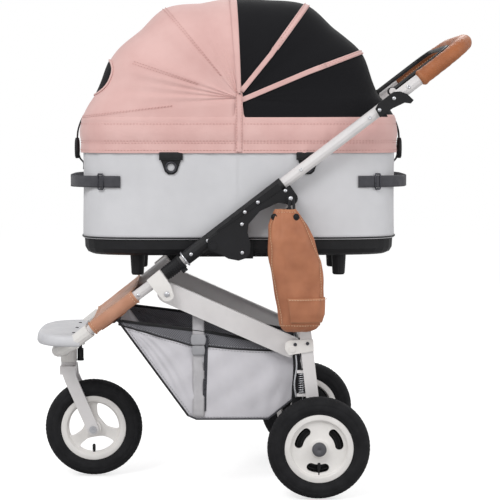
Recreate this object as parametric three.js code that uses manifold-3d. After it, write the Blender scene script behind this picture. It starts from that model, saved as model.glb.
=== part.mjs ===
import * as THREE from 'three';
import Module from 'manifold-3d';

const wasm = await Module();
wasm.setup();

// Driving dimensions, millimetres. +X is the handle end, -Y the left side, +Z up.
const gap = 0.3;
const wheelRadius = 108;
const tyreWidth = 44;
const rimRadius = 72;
const rearWheelY = 236;
const rearAxleX = 132;
const frontAxleX = -356;
const trail = 55;
const steerX = frontAxleX - trail;

const tilt = THREE.MathUtils.degToRad(37.5);
const lineX = -96.6;
const lineZ = 540.5;
const tubeY = 186;
const upperTubeRadius = 12;
const lowerTubeRadius = 11;
const clampRadius = 15;
const bendStart = -150;
const bendRate = 0.25;

const foldDrop = 13.6;
const housingEnd = 195;
const socketEnd = -62.8;
const sleeveLength = 47;
const sleeveTravel = 8;
const panelTop = -198;
const panelEnd = -316;
const handleReach = 685.3;
const handleHalfWidth = 200;
const gripStart = 552;
const gripRadius = 17;

const plateInner = tubeY + clampRadius + 0.5;
const plateThickness = 4;
const cheekOuter = tubeY - clampRadius - 0.5;
const cheekThickness = 3.5;
const pinRadius = 5;
const lugRadius = 11;
const lugHalf = 14;
const legPivot = [73.5, 629];
const legWidth = 22;
const legThickness = 18;

const linkPivot = [-185.5, 428];
const linkRear = [78, 310.5];
const linkHeight = 44;
const linkOuter = 174;
const linkDepth = 16;
const linkWall = 3;
const frontPlateInner = tubeY + lowerTubeRadius + 0.5;

const cotX = -32.7;
const cotHalfLength = 339;
const cotHalfWidth = 165;
const cotBottom = 505;
const trayTop = 539;
const hemZ = 725;
const rimZ = 790;
const wall = 4;
const trayInset = 3;
const footDrop = 46;
const hubZ = 838;
const squareness = 5;
const hubPinRadius = 3.5;
const eyeWidth = 5;
const eyeStack = 158;
const eyePitch = 6;
const bowRadius = 3;

const basketHalfWidth = 148;

const colours = {
  white: [0xe2dfdf, 0.45, 0.1],
  plate: [0xe8e4de, 0.5, 0.1],
  black: [0x1e1e20, 0.6, 0.0],
  steel: [0xb8b8bc, 0.3, 1.0],
  grey: [0xcececd, 0.95, 0.0],
  pink: [0xe2bbb8, 0.95, 0.0],
  mesh: [0x2a2a2e, 0.95, 0.0],
  leather: [0xb97850, 0.6, 0.0],
  tan: [0xbe8264, 0.6, 0.0],
  rubber: [0x262628, 0.9, 0.0],
  cushion: [0xd9d6d2, 0.95, 0.0],
  webbing: [0x4a4a4d, 0.9, 0.0],
  cap: [0x55555a, 0.5, 0.0],
};

function solidFrom(points, faces) {
  let volume = 0;
  for (const [a, b, c] of faces) {
    volume += points[a].dot(new THREE.Vector3().crossVectors(points[b], points[c]));
  }
  const wound = volume < 0 ? faces.map(([a, b, c]) => [a, c, b]) : faces;
  const mesh = new wasm.Mesh({
    numProp: 3,
    vertProperties: new Float32Array(points.flatMap((p) => [p.x, p.y, p.z])),
    triVerts: new Uint32Array(wound.flat()),
  });
  mesh.merge();
  return new wasm.Manifold(mesh);
}

function capFaces(ring, start) {
  const normal = new THREE.Vector3();
  ring.forEach((p, i) => {
    const q = ring[(i + 1) % ring.length];
    normal.x += (p.y - q.y) * (p.z + q.z);
    normal.y += (p.z - q.z) * (p.x + q.x);
    normal.z += (p.x - q.x) * (p.y + q.y);
  });
  const size = [Math.abs(normal.x), Math.abs(normal.y), Math.abs(normal.z)];
  const drop = size.indexOf(Math.max(...size));
  const flat = ring.map((p) => {
    const all = [p.x, p.y, p.z];
    all.splice(drop, 1);
    return new THREE.Vector2(all[0], all[1]);
  });
  const turned = THREE.ShapeUtils.isClockWise(flat);
  return THREE.ShapeUtils.triangulateShape(flat, []).map((face) => {
    const set = turned ? [face[0], face[2], face[1]] : face;
    return set.map((i) => i + start);
  });
}

// Rings of equal length joined into one closed solid; ringed joins the last to the first.
function loft(rings, ringed = false) {
  const n = rings[0].length;
  const points = rings.flat();
  const faces = [];
  const steps = ringed ? rings.length : rings.length - 1;
  for (let r = 0; r < steps; r += 1) {
    const next = (r + 1) % rings.length;
    for (let c = 0; c < n; c += 1) {
      const d = (c + 1) % n;
      faces.push([r * n + c, r * n + d, next * n + d]);
      faces.push([r * n + c, next * n + d, next * n + c]);
    }
  }
  if (!ringed) {
    const first = capFaces(rings[0], 0);
    const last = capFaces(rings.at(-1), points.length - n);
    faces.push(...facing(first, points, faces, true));
    faces.push(...facing(last, points, faces, false));
  }
  return solidFrom(points, faces);
}

// Turns cap faces so each shares its edges with the side faces in opposite directions.
function facing(cap, points, sides) {
  const edges = new Set(sides.flatMap(([a, b, c]) => [`${a}:${b}`, `${b}:${c}`, `${c}:${a}`]));
  for (const [a, b, c] of cap) {
    for (const [p, q] of [[a, b], [b, c], [c, a]]) {
      if (edges.has(`${p}:${q}`)) return cap.map(([x, y, z]) => [x, z, y]);
      if (edges.has(`${q}:${p}`)) return cap;
    }
  }
  return cap;
}

// A thin shell between two equal grids, its four borders stitched.
function shellFrom(outer, inner) {
  const rows = outer.length;
  const cols = outer[0].length;
  const points = [...outer.flat(), ...inner.flat()];
  const shift = rows * cols;
  const faces = [];
  const quad = (a, b, c, d) => {
    faces.push([a, b, c]);
    faces.push([a, c, d]);
  };
  for (let r = 0; r < rows - 1; r += 1) {
    for (let c = 0; c < cols - 1; c += 1) {
      const a = r * cols + c;
      quad(a, a + 1, a + cols + 1, a + cols);
      quad(a + shift, a + cols + shift, a + cols + 1 + shift, a + 1 + shift);
    }
  }
  for (let c = 0; c < cols - 1; c += 1) {
    const a = c;
    const b = (rows - 1) * cols + c;
    quad(a + 1, a, a + shift, a + 1 + shift);
    quad(b, b + 1, b + 1 + shift, b + shift);
  }
  for (let r = 0; r < rows - 1; r += 1) {
    const a = r * cols;
    const b = a + cols - 1;
    quad(a, a + cols, a + cols + shift, a + shift);
    quad(b + cols, b, b + shift, b + cols + shift);
  }
  return solidFrom(points, faces);
}

function circle(centre, across, up, radius, sides) {
  return Array.from({ length: sides }, (_, i) => {
    const a = (i / sides) * Math.PI * 2;
    return centre.clone()
      .addScaledVector(across, Math.cos(a) * radius)
      .addScaledVector(up, Math.sin(a) * radius);
  });
}

function sweep(path, radius, sides = 12) {
  const rings = [];
  let across = null;
  path.forEach((p, i) => {
    const ahead = path[Math.min(i + 1, path.length - 1)];
    const behind = path[Math.max(i - 1, 0)];
    const along = ahead.clone().sub(behind).normalize();
    if (!across) {
      const seed = Math.abs(along.z) < 0.9 ? new THREE.Vector3(0, 0, 1) : new THREE.Vector3(1, 0, 0);
      across = new THREE.Vector3().crossVectors(along, seed);
    }
    across.addScaledVector(along, -across.dot(along)).normalize();
    const up = new THREE.Vector3().crossVectors(along, across);
    const r = typeof radius === 'function' ? radius(i / (path.length - 1)) : radius;
    rings.push(circle(p, across, up, r, sides));
  });
  return loft(rings);
}

const at = (x, y, z) => new THREE.Vector3(x, y, z);

function rod(a, b, radius, sides = 14) {
  return sweep([a, b], radius, sides);
}

function rodY(x, z, y0, y1, radius, sides = 14) {
  return rod(at(x, y0, z), at(x, y1, z), radius, sides);
}

function box(x0, x1, y0, y1, z0, z1) {
  const ring = (z) => [at(x0, y0, z), at(x1, y0, z), at(x1, y1, z), at(x0, y1, z)];
  return loft([ring(z0), ring(z1)]);
}

function plateXZ(points, y0, y1) {
  return loft([y0, y1].map((y) => points.map(([x, z]) => at(x, y, z))));
}

function prism(points, z0, z1) {
  return loft([z0, z1].map((z) => points.map(([x, y]) => at(x, y, z))));
}

// Turned about the Y axis at (x, z); rows are [radius, y] and the profile is a closed loop.
function turnedY(x, z, rows, sides = 28) {
  const rings = Array.from({ length: sides }, (_, i) => {
    const a = (i / sides) * Math.PI * 2;
    return rows.map(([r, y]) => at(x + Math.cos(a) * r, y, z + Math.sin(a) * r));
  });
  return loft(rings, true);
}

const join = (...parts) => wasm.Manifold.union(parts);
const cut = (body, ...tools) => tools.reduce((a, b) => a.subtract(b), body);

// A point s along the main tube line, v above it.
function onLine(s, v = 0, y = 0) {
  return at(
    lineX + s * Math.cos(tilt) - v * Math.sin(tilt),
    y,
    lineZ + s * Math.sin(tilt) + v * Math.cos(tilt),
  );
}

const onLineXZ = (s, v) => {
  const p = onLine(s, v);
  return [p.x, p.z];
};

const foldPivot = onLineXZ(0, -foldDrop);
const lowerTubeY = (s) => tubeY - Math.max(0, bendStart - s) * bendRate;

function arcXZ([x, z], radius, from, to, steps = 8) {
  return Array.from({ length: steps + 1 }, (_, i) => {
    const a = THREE.MathUtils.degToRad(from + ((to - from) * i) / steps);
    return [x + Math.cos(a) * radius, z + Math.sin(a) * radius];
  });
}

function oval(halfLength, halfWidth, z, power = squareness, count = 36, x = cotX) {
  return Array.from({ length: count }, (_, i) => {
    const a = ((i + 0.5) / count) * Math.PI * 2;
    const c = Math.cos(a);
    const s = Math.sin(a);
    return at(
      x + Math.sign(c) * halfLength * Math.abs(c) ** (2 / power),
      Math.sign(s) * halfWidth * Math.abs(s) ** (2 / power),
      z,
    );
  });
}

const ovalAt = (inset, z, count) => oval(cotHalfLength - inset, cotHalfWidth - inset, z, squareness, count);

// Front frame

function lowerPath(from, to) {
  const stops = [from];
  if (from > bendStart && to < bendStart) {
    stops.push(bendStart + 8, bendStart, bendStart - 8);
  }
  stops.push(to);
  return stops.map((s) => {
    const bend = s === bendStart ? 0.5 : 0;
    return onLine(s, 0, -(lowerTubeY(s) - bend));
  });
}

function lowerTube() {
  return sweep(lowerPath(-8.5, -352), lowerTubeRadius);
}

function hingeSocket() {
  const body = rod(onLine(socketEnd, 0, -tubeY), onLine(-0.5, 0, -tubeY), clampRadius, 14);
  const lug = rodY(foldPivot[0], foldPivot[1], -(tubeY + lugHalf), -(tubeY - lugHalf), lugRadius, 16);
  const lugSide = prismAlong([[-26, -14], [-0.5, -14], [-0.5, -6], [-26, -6]], 10);
  const pin = rodY(foldPivot[0], foldPivot[1], -(plateInner + plateThickness + 2.5), -(cheekOuter - 3), pinRadius);
  const head = rodY(
    foldPivot[0], foldPivot[1],
    -(plateInner + plateThickness + 3.3), -(plateInner + plateThickness + gap), 8,
  );
  const bore = rod(onLine(socketEnd - 5, 0, -tubeY), onLine(-8, 0, -tubeY), lowerTubeRadius + gap);
  return join(cut(join(body, lug, lugSide), bore), pin, head);
}

// A (s, v) outline thickened about the tube plane on the left side.
function prismAlong(outline, half) {
  return plateXZ(outline.map(([s, v]) => onLineXZ(s, v)), -(tubeY + half), -(tubeY - half));
}

function sleeve() {
  const top = socketEnd - sleeveTravel - 0.7;
  const body = rod(onLine(top - sleeveLength, 0, -tubeY), onLine(top, 0, -tubeY), clampRadius - 0.5, 14);
  const rim = rod(onLine(top - 7, 0, -tubeY), onLine(top, 0, -tubeY), clampRadius + 1, 14);
  const tab = prismAlong([[top - 14, -22], [top - 2, -22], [top - 2, -12], [top - 14, -12]], 6);
  const bore = rod(onLine(top - sleeveLength - 5, 0, -tubeY), onLine(top + 5, 0, -tubeY), lowerTubeRadius + gap);
  return cut(join(body, rim, tab), bore);
}

function linkPlate() {
  const outline = [
    [-203, 478], [-228, 457.5], [-214, 438.5],
    ...arcXZ(linkPivot, 15, 215, 345, 8),
    [-177.5, 446.6], [-199.6, 477.3],
  ];
  const plate = plateXZ(outline, -(frontPlateInner + 3), -frontPlateInner);
  const stud = rodY(linkPivot[0], linkPivot[1], -(frontPlateInner + 5), -169, 4);
  const roller = rodY(linkPivot[0], linkPivot[1], -(frontPlateInner + 1), -(linkOuter + gap), 9);
  return join(plate, stud, roller);
}

function stadium(s, radius) {
  const y = lowerTubeY(s);
  const half = Array.from({ length: 9 }, (_, i) => -Math.PI / 2 + (i / 8) * Math.PI);
  const right = half.map((a) => onLine(s, Math.sin(a) * radius, y + Math.cos(a) * radius));
  const left = half.map((a) => onLine(s, -Math.sin(a) * radius, -y - Math.cos(a) * radius));
  return [...right, ...left];
}

function calfPanel() {
  const slab = loft([panelEnd, (panelEnd + panelTop) / 2, panelTop].map((s) => stadium(s, 14)));
  const tools = [-1, 1].map((side) => {
    const path = [-180, -340].map((s) => onLine(s, 0, side * lowerTubeY(s)));
    return rod(path[0], path[1], lowerTubeRadius + gap);
  });
  return cut(slab, ...tools);
}

function armSolid(side, grow) {
  const reach = [
    onLine(-322 + grow, 0, side * lowerTubeY(-322)),
    onLine(-345, 0, side * lowerTubeY(-345)),
    onLine(-372, 0, side * lowerTubeY(-372)),
    at(-412, side * 108, 300),
    at(-428, side * 66, 290),
    at(-424, side * 26, 284),
    at(steerX, 0, 284),
  ];
  return sweep(reach, (t) => clampRadius - 1.5 * t + grow, 12);
}

function frontHousing() {
  const head = rod(at(steerX, 0, 256), at(steerX, 0, 314), 18, 18);
  const lug = rod(at(-385, 0, 294), at(-385, 0, 306), 10);
  const web = box(steerX, -385, -7, 7, 294, 306);
  const bores = [-1, 1].map((side) => rod(
    onLine(-300, 0, side * lowerTubeY(-300)),
    onLine(-353, 0, side * lowerTubeY(-353)),
    lowerTubeRadius + gap,
  ));
  const stem = rod(at(steerX, 0, 240), at(steerX, 0, 302), 8 + gap);
  const lock = rod(at(-385, 0, 280), at(-385, 0, 320), 4 + gap);
  return cut(join(head, lug, web, armSolid(-1, 0), armSolid(1, 0)), ...bores, stem, lock);
}

function footOutline(inset) {
  const half = 148 - inset;
  const front = -460 + inset;
  const corner = 26 - inset / 2;
  const back = -374;
  const points = [[back, -half], [back, half]];
  for (let i = 0; i <= 5; i += 1) {
    const a = (i / 5) * Math.PI / 2;
    points.push([front + 8 + corner - Math.sin(a) * corner, half - corner + Math.cos(a) * corner]);
  }
  points.push([front + 2, 60], [front, 20], [front, -20], [front + 2, -60]);
  for (let i = 5; i >= 0; i -= 1) {
    const a = (i / 5) * Math.PI / 2;
    points.push([front + 8 + corner - Math.sin(a) * corner, -half + corner - Math.cos(a) * corner]);
  }
  return points;
}

function footPlate() {
  const outer = loft([
    footOutline(4).map(([x, y]) => at(x, y, 309)),
    footOutline(0).map(([x, y]) => at(x, y, 313)),
    footOutline(0).map(([x, y]) => at(x, y, 329)),
    footOutline(3).map(([x, y]) => at(x, y, 332)),
  ]);
  const hollow = prism(footOutline(6).map(([x, y]) => [x === -374 ? -360 : x, y]), 300, 326);
  const lock = rod(at(-385, 0, 300), at(-385, 0, 325), 14);
  return cut(outer, hollow, armSolid(-1, 0.6), armSolid(1, 0.6), lock);
}

function fork() {
  const crown = box(steerX - 17, steerX + 17, -33, 33, 231, 249);
  const boss = rod(at(steerX, 0, 247), at(steerX, 0, 255.5), 17, 18);
  const stem = rod(at(steerX, 0, 240), at(steerX, 0, 298), 8);
  const outline = [
    [steerX - 17, 248], [steerX + 17, 248], [steerX + 19, 226],
    ...arcXZ([frontAxleX, wheelRadius], 13, 15, -150, 8),
    [steerX - 6, 215],
  ];
  const blades = [-1, 1].map((side) => plateXZ(outline, side * 29 - 4, side * 29 + 4));
  const bore = rodY(frontAxleX, wheelRadius, -60, 60, 5 + gap);
  return cut(join(crown, boss, stem, ...blades), bore);
}

function frontAxle() {
  const shaft = rodY(frontAxleX, wheelRadius, -37, 37, 5);
  const heads = [-1, 1].map((side) => rodY(frontAxleX, wheelRadius, side * 35.3 - 2, side * 35.3 + 2, 8));
  return join(shaft, ...heads);
}

function swivelLock() {
  const knob = rod(at(-385, 0, 258), at(-385, 0, 285), 7);
  const flange = rod(at(-385, 0, 258), at(-385, 0, 262), 7.6);
  const stem = rod(at(-385, 0, 280), at(-385, 0, 309), 4);
  return join(knob, flange, stem);
}

// Wheels

function tyre(x, z, mid) {
  const half = tyreWidth / 2;
  const inner = rimRadius + gap;
  const rows = [
    [inner, -half * 0.76], [inner + 18, -half], [wheelRadius - 8, -half * 0.84], [wheelRadius, -half * 0.25],
    [wheelRadius, half * 0.25], [wheelRadius - 8, half * 0.84], [inner + 18, half], [inner, half * 0.76],
  ];
  return turnedY(x, z, rows.map(([r, y]) => [r, y + mid]), 24);
}

function rearRim() {
  const mid = -rearWheelY;
  const outer = turnedY(rearAxleX, wheelRadius, [
    [rimRadius, mid + 16], [rimRadius, mid - 16], [60, mid - 16], [58, mid - 9],
    [20, mid - 12], [17, mid - 20], [6 + gap, mid - 20], [6 + gap, mid + 20], [16, mid + 20],
    [18, mid - 4], [56, mid - 2], [60, mid + 16],
  ], 24);
  const slots = [146, 27, 267].map((centre) => {
    const hub = [rearAxleX, wheelRadius];
    const end = (angle, turn) => {
      const a = (angle / 180) * Math.PI;
      const middle = [hub[0] + Math.cos(a) * 43, hub[1] + Math.sin(a) * 43];
      return arcXZ(middle, 9, angle + turn, angle + turn + 180, 6).slice(1, -1);
    };
    const outline = [
      ...arcXZ(hub, 52, centre - 20, centre + 20, 4),
      ...end(centre + 20, 0),
      ...arcXZ(hub, 34, centre + 20, centre - 20, 4),
      ...end(centre - 20, 180),
    ];
    return plateXZ(outline, mid - 30, mid + 10);
  });
  return cut(outer, ...slots);
}

function capSolid() {
  const y = -rearWheelY - 20 - gap;
  const ring = (r, depth) => circle(
    at(rearAxleX, y - depth, wheelRadius), at(1, 0, 0), at(0, 0, 1), r, 16,
  );
  return loft([ring(15, 0), ring(15, 3.5), ring(10, 6)]);
}

function frontRim() {
  const ring = turnedY(frontAxleX, wheelRadius, [
    [rimRadius, -16], [rimRadius, 16], [60, 16], [57, 8], [57, -8], [60, -16],
  ], 24);
  const hub = rodY(frontAxleX, wheelRadius, -24, 24, 17, 16);
  const spokes = [97, 340, 218].map((angle) => {
    const a = THREE.MathUtils.degToRad(angle);
    const side = at(-Math.sin(a), 0, Math.cos(a));
    const out = at(Math.cos(a), 0, Math.sin(a));
    const centre = at(frontAxleX, 0, wheelRadius);
    const corner = (r, w) => centre.clone().addScaledVector(out, r).addScaledVector(side, w);
    const outline = [corner(8, -13), corner(40, -11), corner(62, -17), corner(62, 17), corner(40, 11), corner(8, 13)];
    return plateXZ(outline.map((p) => [p.x, p.z]), -8, 8);
  });
  const bore = rodY(frontAxleX, wheelRadius, -40, 40, 5 + gap);
  return cut(join(ring, hub, ...spokes), bore);
}

// Upper frame

function handlePath(from) {
  const corner = 96;
  const flare = (s) => tubeY + (handleHalfWidth - tubeY) * THREE.MathUtils.smoothstep(s, housingEnd + 6, 430);
  const half = [from, housingEnd + 5, 310, 430, handleReach - corner].filter((s) => s >= from)
    .map((s) => onLine(s, 0, -flare(s)));
  for (let i = 1; i <= 5; i += 1) {
    const a = (i / 5) * Math.PI / 2;
    half.push(onLine(
      handleReach - corner + Math.sin(a) * corner, 0,
      -(handleHalfWidth - corner + Math.cos(a) * corner),
    ));
  }
  const back = half.slice().reverse().map((p) => at(p.x, -p.y, p.z));
  return [...half, ...back];
}

function handleTube() {
  const lugs = [-1, 1].map((side) => rodY(
    ...onLineXZ(494, 14), side * 194, side * 184, 7,
  ));
  return join(sweep(handlePath(134), upperTubeRadius), ...lugs);
}

function handleGrip() {
  const outer = sweep(handlePath(gripStart), gripRadius);
  const path = handlePath(gripStart);
  const ext = onLine(gripStart - 8, 0, -handleHalfWidth);
  const tool = sweep([ext, ...path, at(ext.x, -ext.y, ext.z)], upperTubeRadius + gap);
  return cut(outer, tool);
}

const sidePlateOutline = [
  onLineXZ(-2, 4),
  ...arcXZ(foldPivot, 11.5, 165, 262, 5),
  [-73, 512], [-56.4, 502.7], [-35.2, 498.7], [-19.1, 503.9], [-11.4, 515], [-10, 533.7],
  [-16.6, 557.3], [-13.9, 575.8], [9.2, 602.5], [47.5, 620],
  ...arcXZ(legPivot, 15, 225, 380, 7),
  [72, 657],
];

function hingeHousing() {
  const barrel = rod(onLine(0.5, 0, -tubeY), onLine(housingEnd, 0, -tubeY), clampRadius, 14);
  const web = prismAlong([[24, -10], [186, -10], [186, 8], [24, 8]], clampRadius + 0.5);
  const outer = plateXZ(sidePlateOutline, -(plateInner + plateThickness), -plateInner);
  const inner = plateXZ(sidePlateOutline, -cheekOuter, -(cheekOuter - cheekThickness));
  const bridge = plateXZ([[-50, 548], [-24, 548], [-24, 590], [-50, 590]], -plateInner - 1, -cheekOuter + 1);
  const bore = rod(onLine(130, 0, -tubeY), onLine(housingEnd + 5, 0, -tubeY), upperTubeRadius + 2 * gap);
  const pins = [foldPivot, legPivot].map(([x, z]) => rodY(x, z, -220, -160, pinRadius + gap));
  const knuckle = clampRadius + 0.2;
  const swing = rodY(
    foldPivot[0], foldPivot[1],
    -(tubeY + knuckle), -(tubeY - knuckle), (lugRadius + gap) / Math.cos(Math.PI / 16), 16,
  );
  const body = cut(join(barrel, web, bridge), swing, bore);
  return cut(join(body, outer, inner), ...pins);
}

function legPin() {
  const [x, z] = legPivot;
  const out = plateInner + plateThickness;
  return join(
    rodY(x, z, -(out + 5), -(cheekOuter - cheekThickness - 0.8), pinRadius),
    rodY(x, z, -(out + 5.5), -(out + 3), 9),
  );
}

function cotCarrier() {
  const z0 = 499.7;
  const z1 = cotBottom - gap;
  const end = cheekOuter - cheekThickness - gap;
  const deck = box(-150, 90, -120, 120, z0, z1);
  const arms = box(-48, -4, -end, end, z0, z1);
  const tabs = [-1, 1].map((side) => box(
    -48, -4,
    Math.min(side * end, side * (end - 4)), Math.max(side * end, side * (end - 4)),
    z0, 536,
  ));
  return join(deck, arms, ...tabs);
}

function releaseLever() {
  const outline = [
    [438, -12], [441, 8], [452, 13], [492, 13], [503, 6], [512, -8], [515, -26], [506, -28], [497, -19], [470, -13],
  ];
  const inner = handleHalfWidth + upperTubeRadius + 0.5;
  return plateXZ(outline.map(([s, v]) => onLineXZ(s, v)), -(inner + 5), -inner);
}

function brakeBar() {
  const half = 174;
  const corner = 46;
  const reach = 648;
  const side = [onLine(494, 14, -half), onLine(560, 14, -half), onLine(reach - corner, 14, -half)];
  for (let i = 1; i <= 5; i += 1) {
    const a = (i / 5) * Math.PI / 2;
    side.push(onLine(reach - corner + Math.sin(a) * corner, 14, -(half - corner + Math.cos(a) * corner)));
  }
  const back = side.slice().reverse().map((p) => at(p.x, -p.y, p.z));
  const knobs = [-1, 1].map((s) => rodY(...onLineXZ(494, 14), s * 167, s * (184 - 0.4), 9));
  return join(sweep([...side, ...back], 5, 8), ...knobs);
}

// Undercarriage links and rear legs

function linkBar() {
  const along = new THREE.Vector2(linkRear[0] - linkPivot[0], linkRear[1] - linkPivot[1]);
  const angle = THREE.MathUtils.radToDeg(along.angle());
  const outline = (radius) => [
    ...arcXZ(linkPivot, radius, angle + 90, angle + 270, 8),
    ...arcXZ(linkRear, radius, angle - 90, angle + 90, 8),
  ];
  const outer = plateXZ(outline(linkHeight / 2), -linkOuter, -(linkOuter - linkDepth));
  const hollow = plateXZ(outline(linkHeight / 2 - linkWall), -(linkOuter - linkWall), -100);
  const bore = rodY(linkPivot[0], linkPivot[1], -200, -160, 4 + gap);
  return cut(outer, hollow, bore);
}

function rearLeg() {
  const inner = tubeY - legThickness / 2;
  const dir = new THREE.Vector2(rearAxleX - legPivot[0], wheelRadius - legPivot[1]);
  const angle = THREE.MathUtils.radToDeg(dir.angle());
  const outline = [
    ...arcXZ(legPivot, legWidth / 2, angle + 90, angle + 270, 8),
    ...arcXZ([rearAxleX, wheelRadius], legWidth / 2 + 3, angle - 90, angle + 90, 8),
  ];
  const beam = plateXZ(outline, -(inner + legThickness), -inner);
  const drum = rodY(rearAxleX, wheelRadius, -211, -(inner + 4), 40, 22);
  const stops = [[258, 264], [208, 214]].map(([z0, z1]) => box(88, 118, -190, -182, z0, z1));
  const holes = [
    rodY(legPivot[0], legPivot[1], -220, -160, pinRadius + gap),
    rodY(rearAxleX, wheelRadius, -230, -160, 9 + gap),
  ];
  return cut(join(beam, drum, ...stops), ...holes);
}

function rearBracket() {
  const outline = [[63.6, 324.1], [72.2, 329.1], [122.1, 331.4], [123.6, 306.5], [71, 297.8], [62.2, 310.9]];
  const plate = plateXZ(outline, -198.5, -195.5);
  const stud = rodY(linkRear[0], linkRear[1], -201.5, -(linkOuter + 0.5), 6);
  return join(plate, stud);
}

function rearAxle() {
  const tube = rodY(rearAxleX, wheelRadius, -212, 212, 9);
  const stub = rodY(rearAxleX, wheelRadius, -(rearWheelY + 19), rearWheelY + 19, 6);
  return join(tube, stub);
}

// Basket

function insetOutline(points, d) {
  const centre = points.reduce((a, p) => [a[0] + p[0] / points.length, a[1] + p[1] / points.length], [0, 0]);
  const lines = points.map((p, i) => {
    const q = points[(i + 1) % points.length];
    const a = new THREE.Vector2(p[0], p[1]);
    const dir = new THREE.Vector2(q[0] - p[0], q[1] - p[1]).normalize();
    const inward = new THREE.Vector2(-dir.y, dir.x);
    if (inward.dot(new THREE.Vector2(centre[0] - a.x, centre[1] - a.y)) < 0) inward.negate();
    return { a: a.addScaledVector(inward, d), dir };
  });
  return points.map((_, i) => {
    const one = lines[(i + points.length - 1) % points.length];
    const two = lines[i];
    const cross = one.dir.x * two.dir.y - one.dir.y * two.dir.x;
    const t = ((two.a.x - one.a.x) * two.dir.y - (two.a.y - one.a.y) * two.dir.x) / cross;
    return [one.a.x + one.dir.x * t, one.a.y + one.dir.y * t];
  });
}

const basketOutline = [[-292, 366], [-143, 160], [-125, 152], [28, 152], [81.5, 195], [100.5, 303], [-103, 342]];

function basket() {
  const outer = plateXZ(basketOutline, -basketHalfWidth, basketHalfWidth);
  const low = insetOutline(basketOutline, 3);
  const lift = low.map(([x, z], i) => (i === 0 || i === 5 || i === 6 ? [x, z + 6] : [x, z]));
  const body = cut(outer, plateXZ(lift, -(basketHalfWidth - 3), basketHalfWidth - 3));
  const hangers = [-1, 1].flatMap((side) => {
    const span = (from, to) => [side * from, side * to].sort((a, b) => a - b);
    const barEdge = linkOuter - linkDepth - 0.4;
    const legFace = tubeY - legThickness / 2 - 0.3;
    return [
      box(-122, -108, ...span(basketHalfWidth - 3, basketHalfWidth), 335, 380),
      box(-122, -108, ...span(basketHalfWidth - 1, barEdge), 366, 380),
      box(90, 112, ...span(basketHalfWidth - 2, legFace), 255, 270),
    ];
  });
  return join(body, ...hangers);
}

// Cot

function tray() {
  const shape = loft([
    ovalAt(trayInset + 16, cotBottom),
    ovalAt(trayInset + 6, cotBottom + 5),
    ovalAt(trayInset + 1, cotBottom + 14),
    ovalAt(trayInset, trayTop),
  ]);
  const hollow = loft([ovalAt(trayInset + 12, cotBottom + 6), ovalAt(trayInset + 7, trayTop + 2)]);
  const feet = [-252, 183].flatMap((x) => [-92, 92].map((y) => loft([
    circle(at(x, y, cotBottom + 1), at(1, 0, 0), at(0, 1, 0), 16, 14),
    circle(at(x, y, cotBottom - footDrop + 3), at(1, 0, 0), at(0, 1, 0), 13.5, 14),
    circle(at(x, y, cotBottom - footDrop), at(1, 0, 0), at(0, 1, 0), 11.5, 14),
  ])));
  return cut(join(shape, ...feet), hollow);
}

function ringWall(outset, thick, z0, z1, count = 36) {
  const rings = [ovalAt(-outset, z0, count), ovalAt(-outset, z1, count)];
  const inner = [ovalAt(-outset + thick, z1, count), ovalAt(-outset + thick, z0, count)];
  return loft([...rings, ...inner], true);
}

function mattress() {
  return loft([
    ovalAt(22, cotBottom + 6 + gap), ovalAt(16, cotBottom + 12), ovalAt(14, cotBottom + 36), ovalAt(20, cotBottom + 44),
  ]);
}

// Hood silhouette about the side pivots: [angle, reach at the middle]
const frontHoodStations = [[94.3, 217.6], [112, 230], [129.7, 252.3], [145, 264], [161.5, 287], [177.8, 313.5], [187.1, 341.6]];
const rearHoodStations = [[92.3, 217.6], [73, 230], [53.9, 250], [37, 260], [20.7, 283], [1.7, 306], [-7.1, 341.6]];

function archPoint(angle, reach, t, inset, halfWidth = cotHalfWidth, least = 9) {
  const low = Math.min(1, Math.abs(angle - 93.3) / 93.8);
  const power = 2.4 + (squareness - 2.4) * low ** 1.5;
  const a = (t * Math.PI) / 2;
  const out = (reach - inset) * Math.abs(Math.cos(a)) ** (2 / power);
  const y = Math.sign(t) * (halfWidth - inset) * Math.abs(Math.sin(a)) ** (2 / power);
  const turn = THREE.MathUtils.degToRad(angle);
  const far = Math.max(out, least);
  return at(cotX + Math.cos(turn) * far, y, hubZ + Math.sin(turn) * far);
}

function hood(stations) {
  const steps = 14;
  const grid = (inset) => {
    const rows = stations.map(([angle, reach]) => Array.from(
      { length: steps + 1 },
      (_, i) => archPoint(angle, reach, (-1 + (2 * i) / steps) * 0.995, inset),
    ));
    const last = rows.at(-1);
    rows.push(last.map((p) => at(p.x, p.y, rimZ + gap)));
    return rows;
  };
  return shellFrom(grid(0), grid(2.5));
}

// Each bow turns on its own eye; the eyes stack sideways along the pin of the hub.
function bow(angle, reach, halfWidth) {
  const path = Array.from({ length: 11 }, (_, i) => {
    const t = Math.sin(((-1 + i / 5) * Math.PI) / 2);
    return archPoint(angle, reach, t, 0, halfWidth, 5);
  });
  const eyes = [-1, 1].map((side) => rodY(
    cotX, hubZ, side * halfWidth - eyeWidth / 2, side * halfWidth + eyeWidth / 2, 8.5, 8,
  ));
  const bores = [-1, 1].map((side) => rodY(
    cotX, hubZ, side * halfWidth - 6, side * halfWidth + 6, hubPinRadius + gap, 8,
  ));
  return cut(join(sweep(path, bowRadius, 6), ...eyes), ...bores);
}

// The skirt round the rim, with an upright ear and pin each side that the bows turn on.
function cotBand() {
  const outset = 3.4;
  const ring = ringWall(outset, 3, hemZ, rimZ);
  const ears = [-1, 1].map((side) => {
    const y0 = side * (cotHalfWidth + outset - 3);
    const y1 = side * (cotHalfWidth + outset);
    return box(cotX - 7, cotX + 7, Math.min(y0, y1), Math.max(y0, y1), hemZ + 5, hubZ + 12);
  });
  const pins = [-1, 1].map((side) => rodY(
    cotX, hubZ, side * (eyeStack - eyePitch * 4 - eyeWidth), side * (cotHalfWidth + outset - 1), hubPinRadius, 8,
  ));
  return join(ring, ...ears, ...pins);
}

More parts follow.
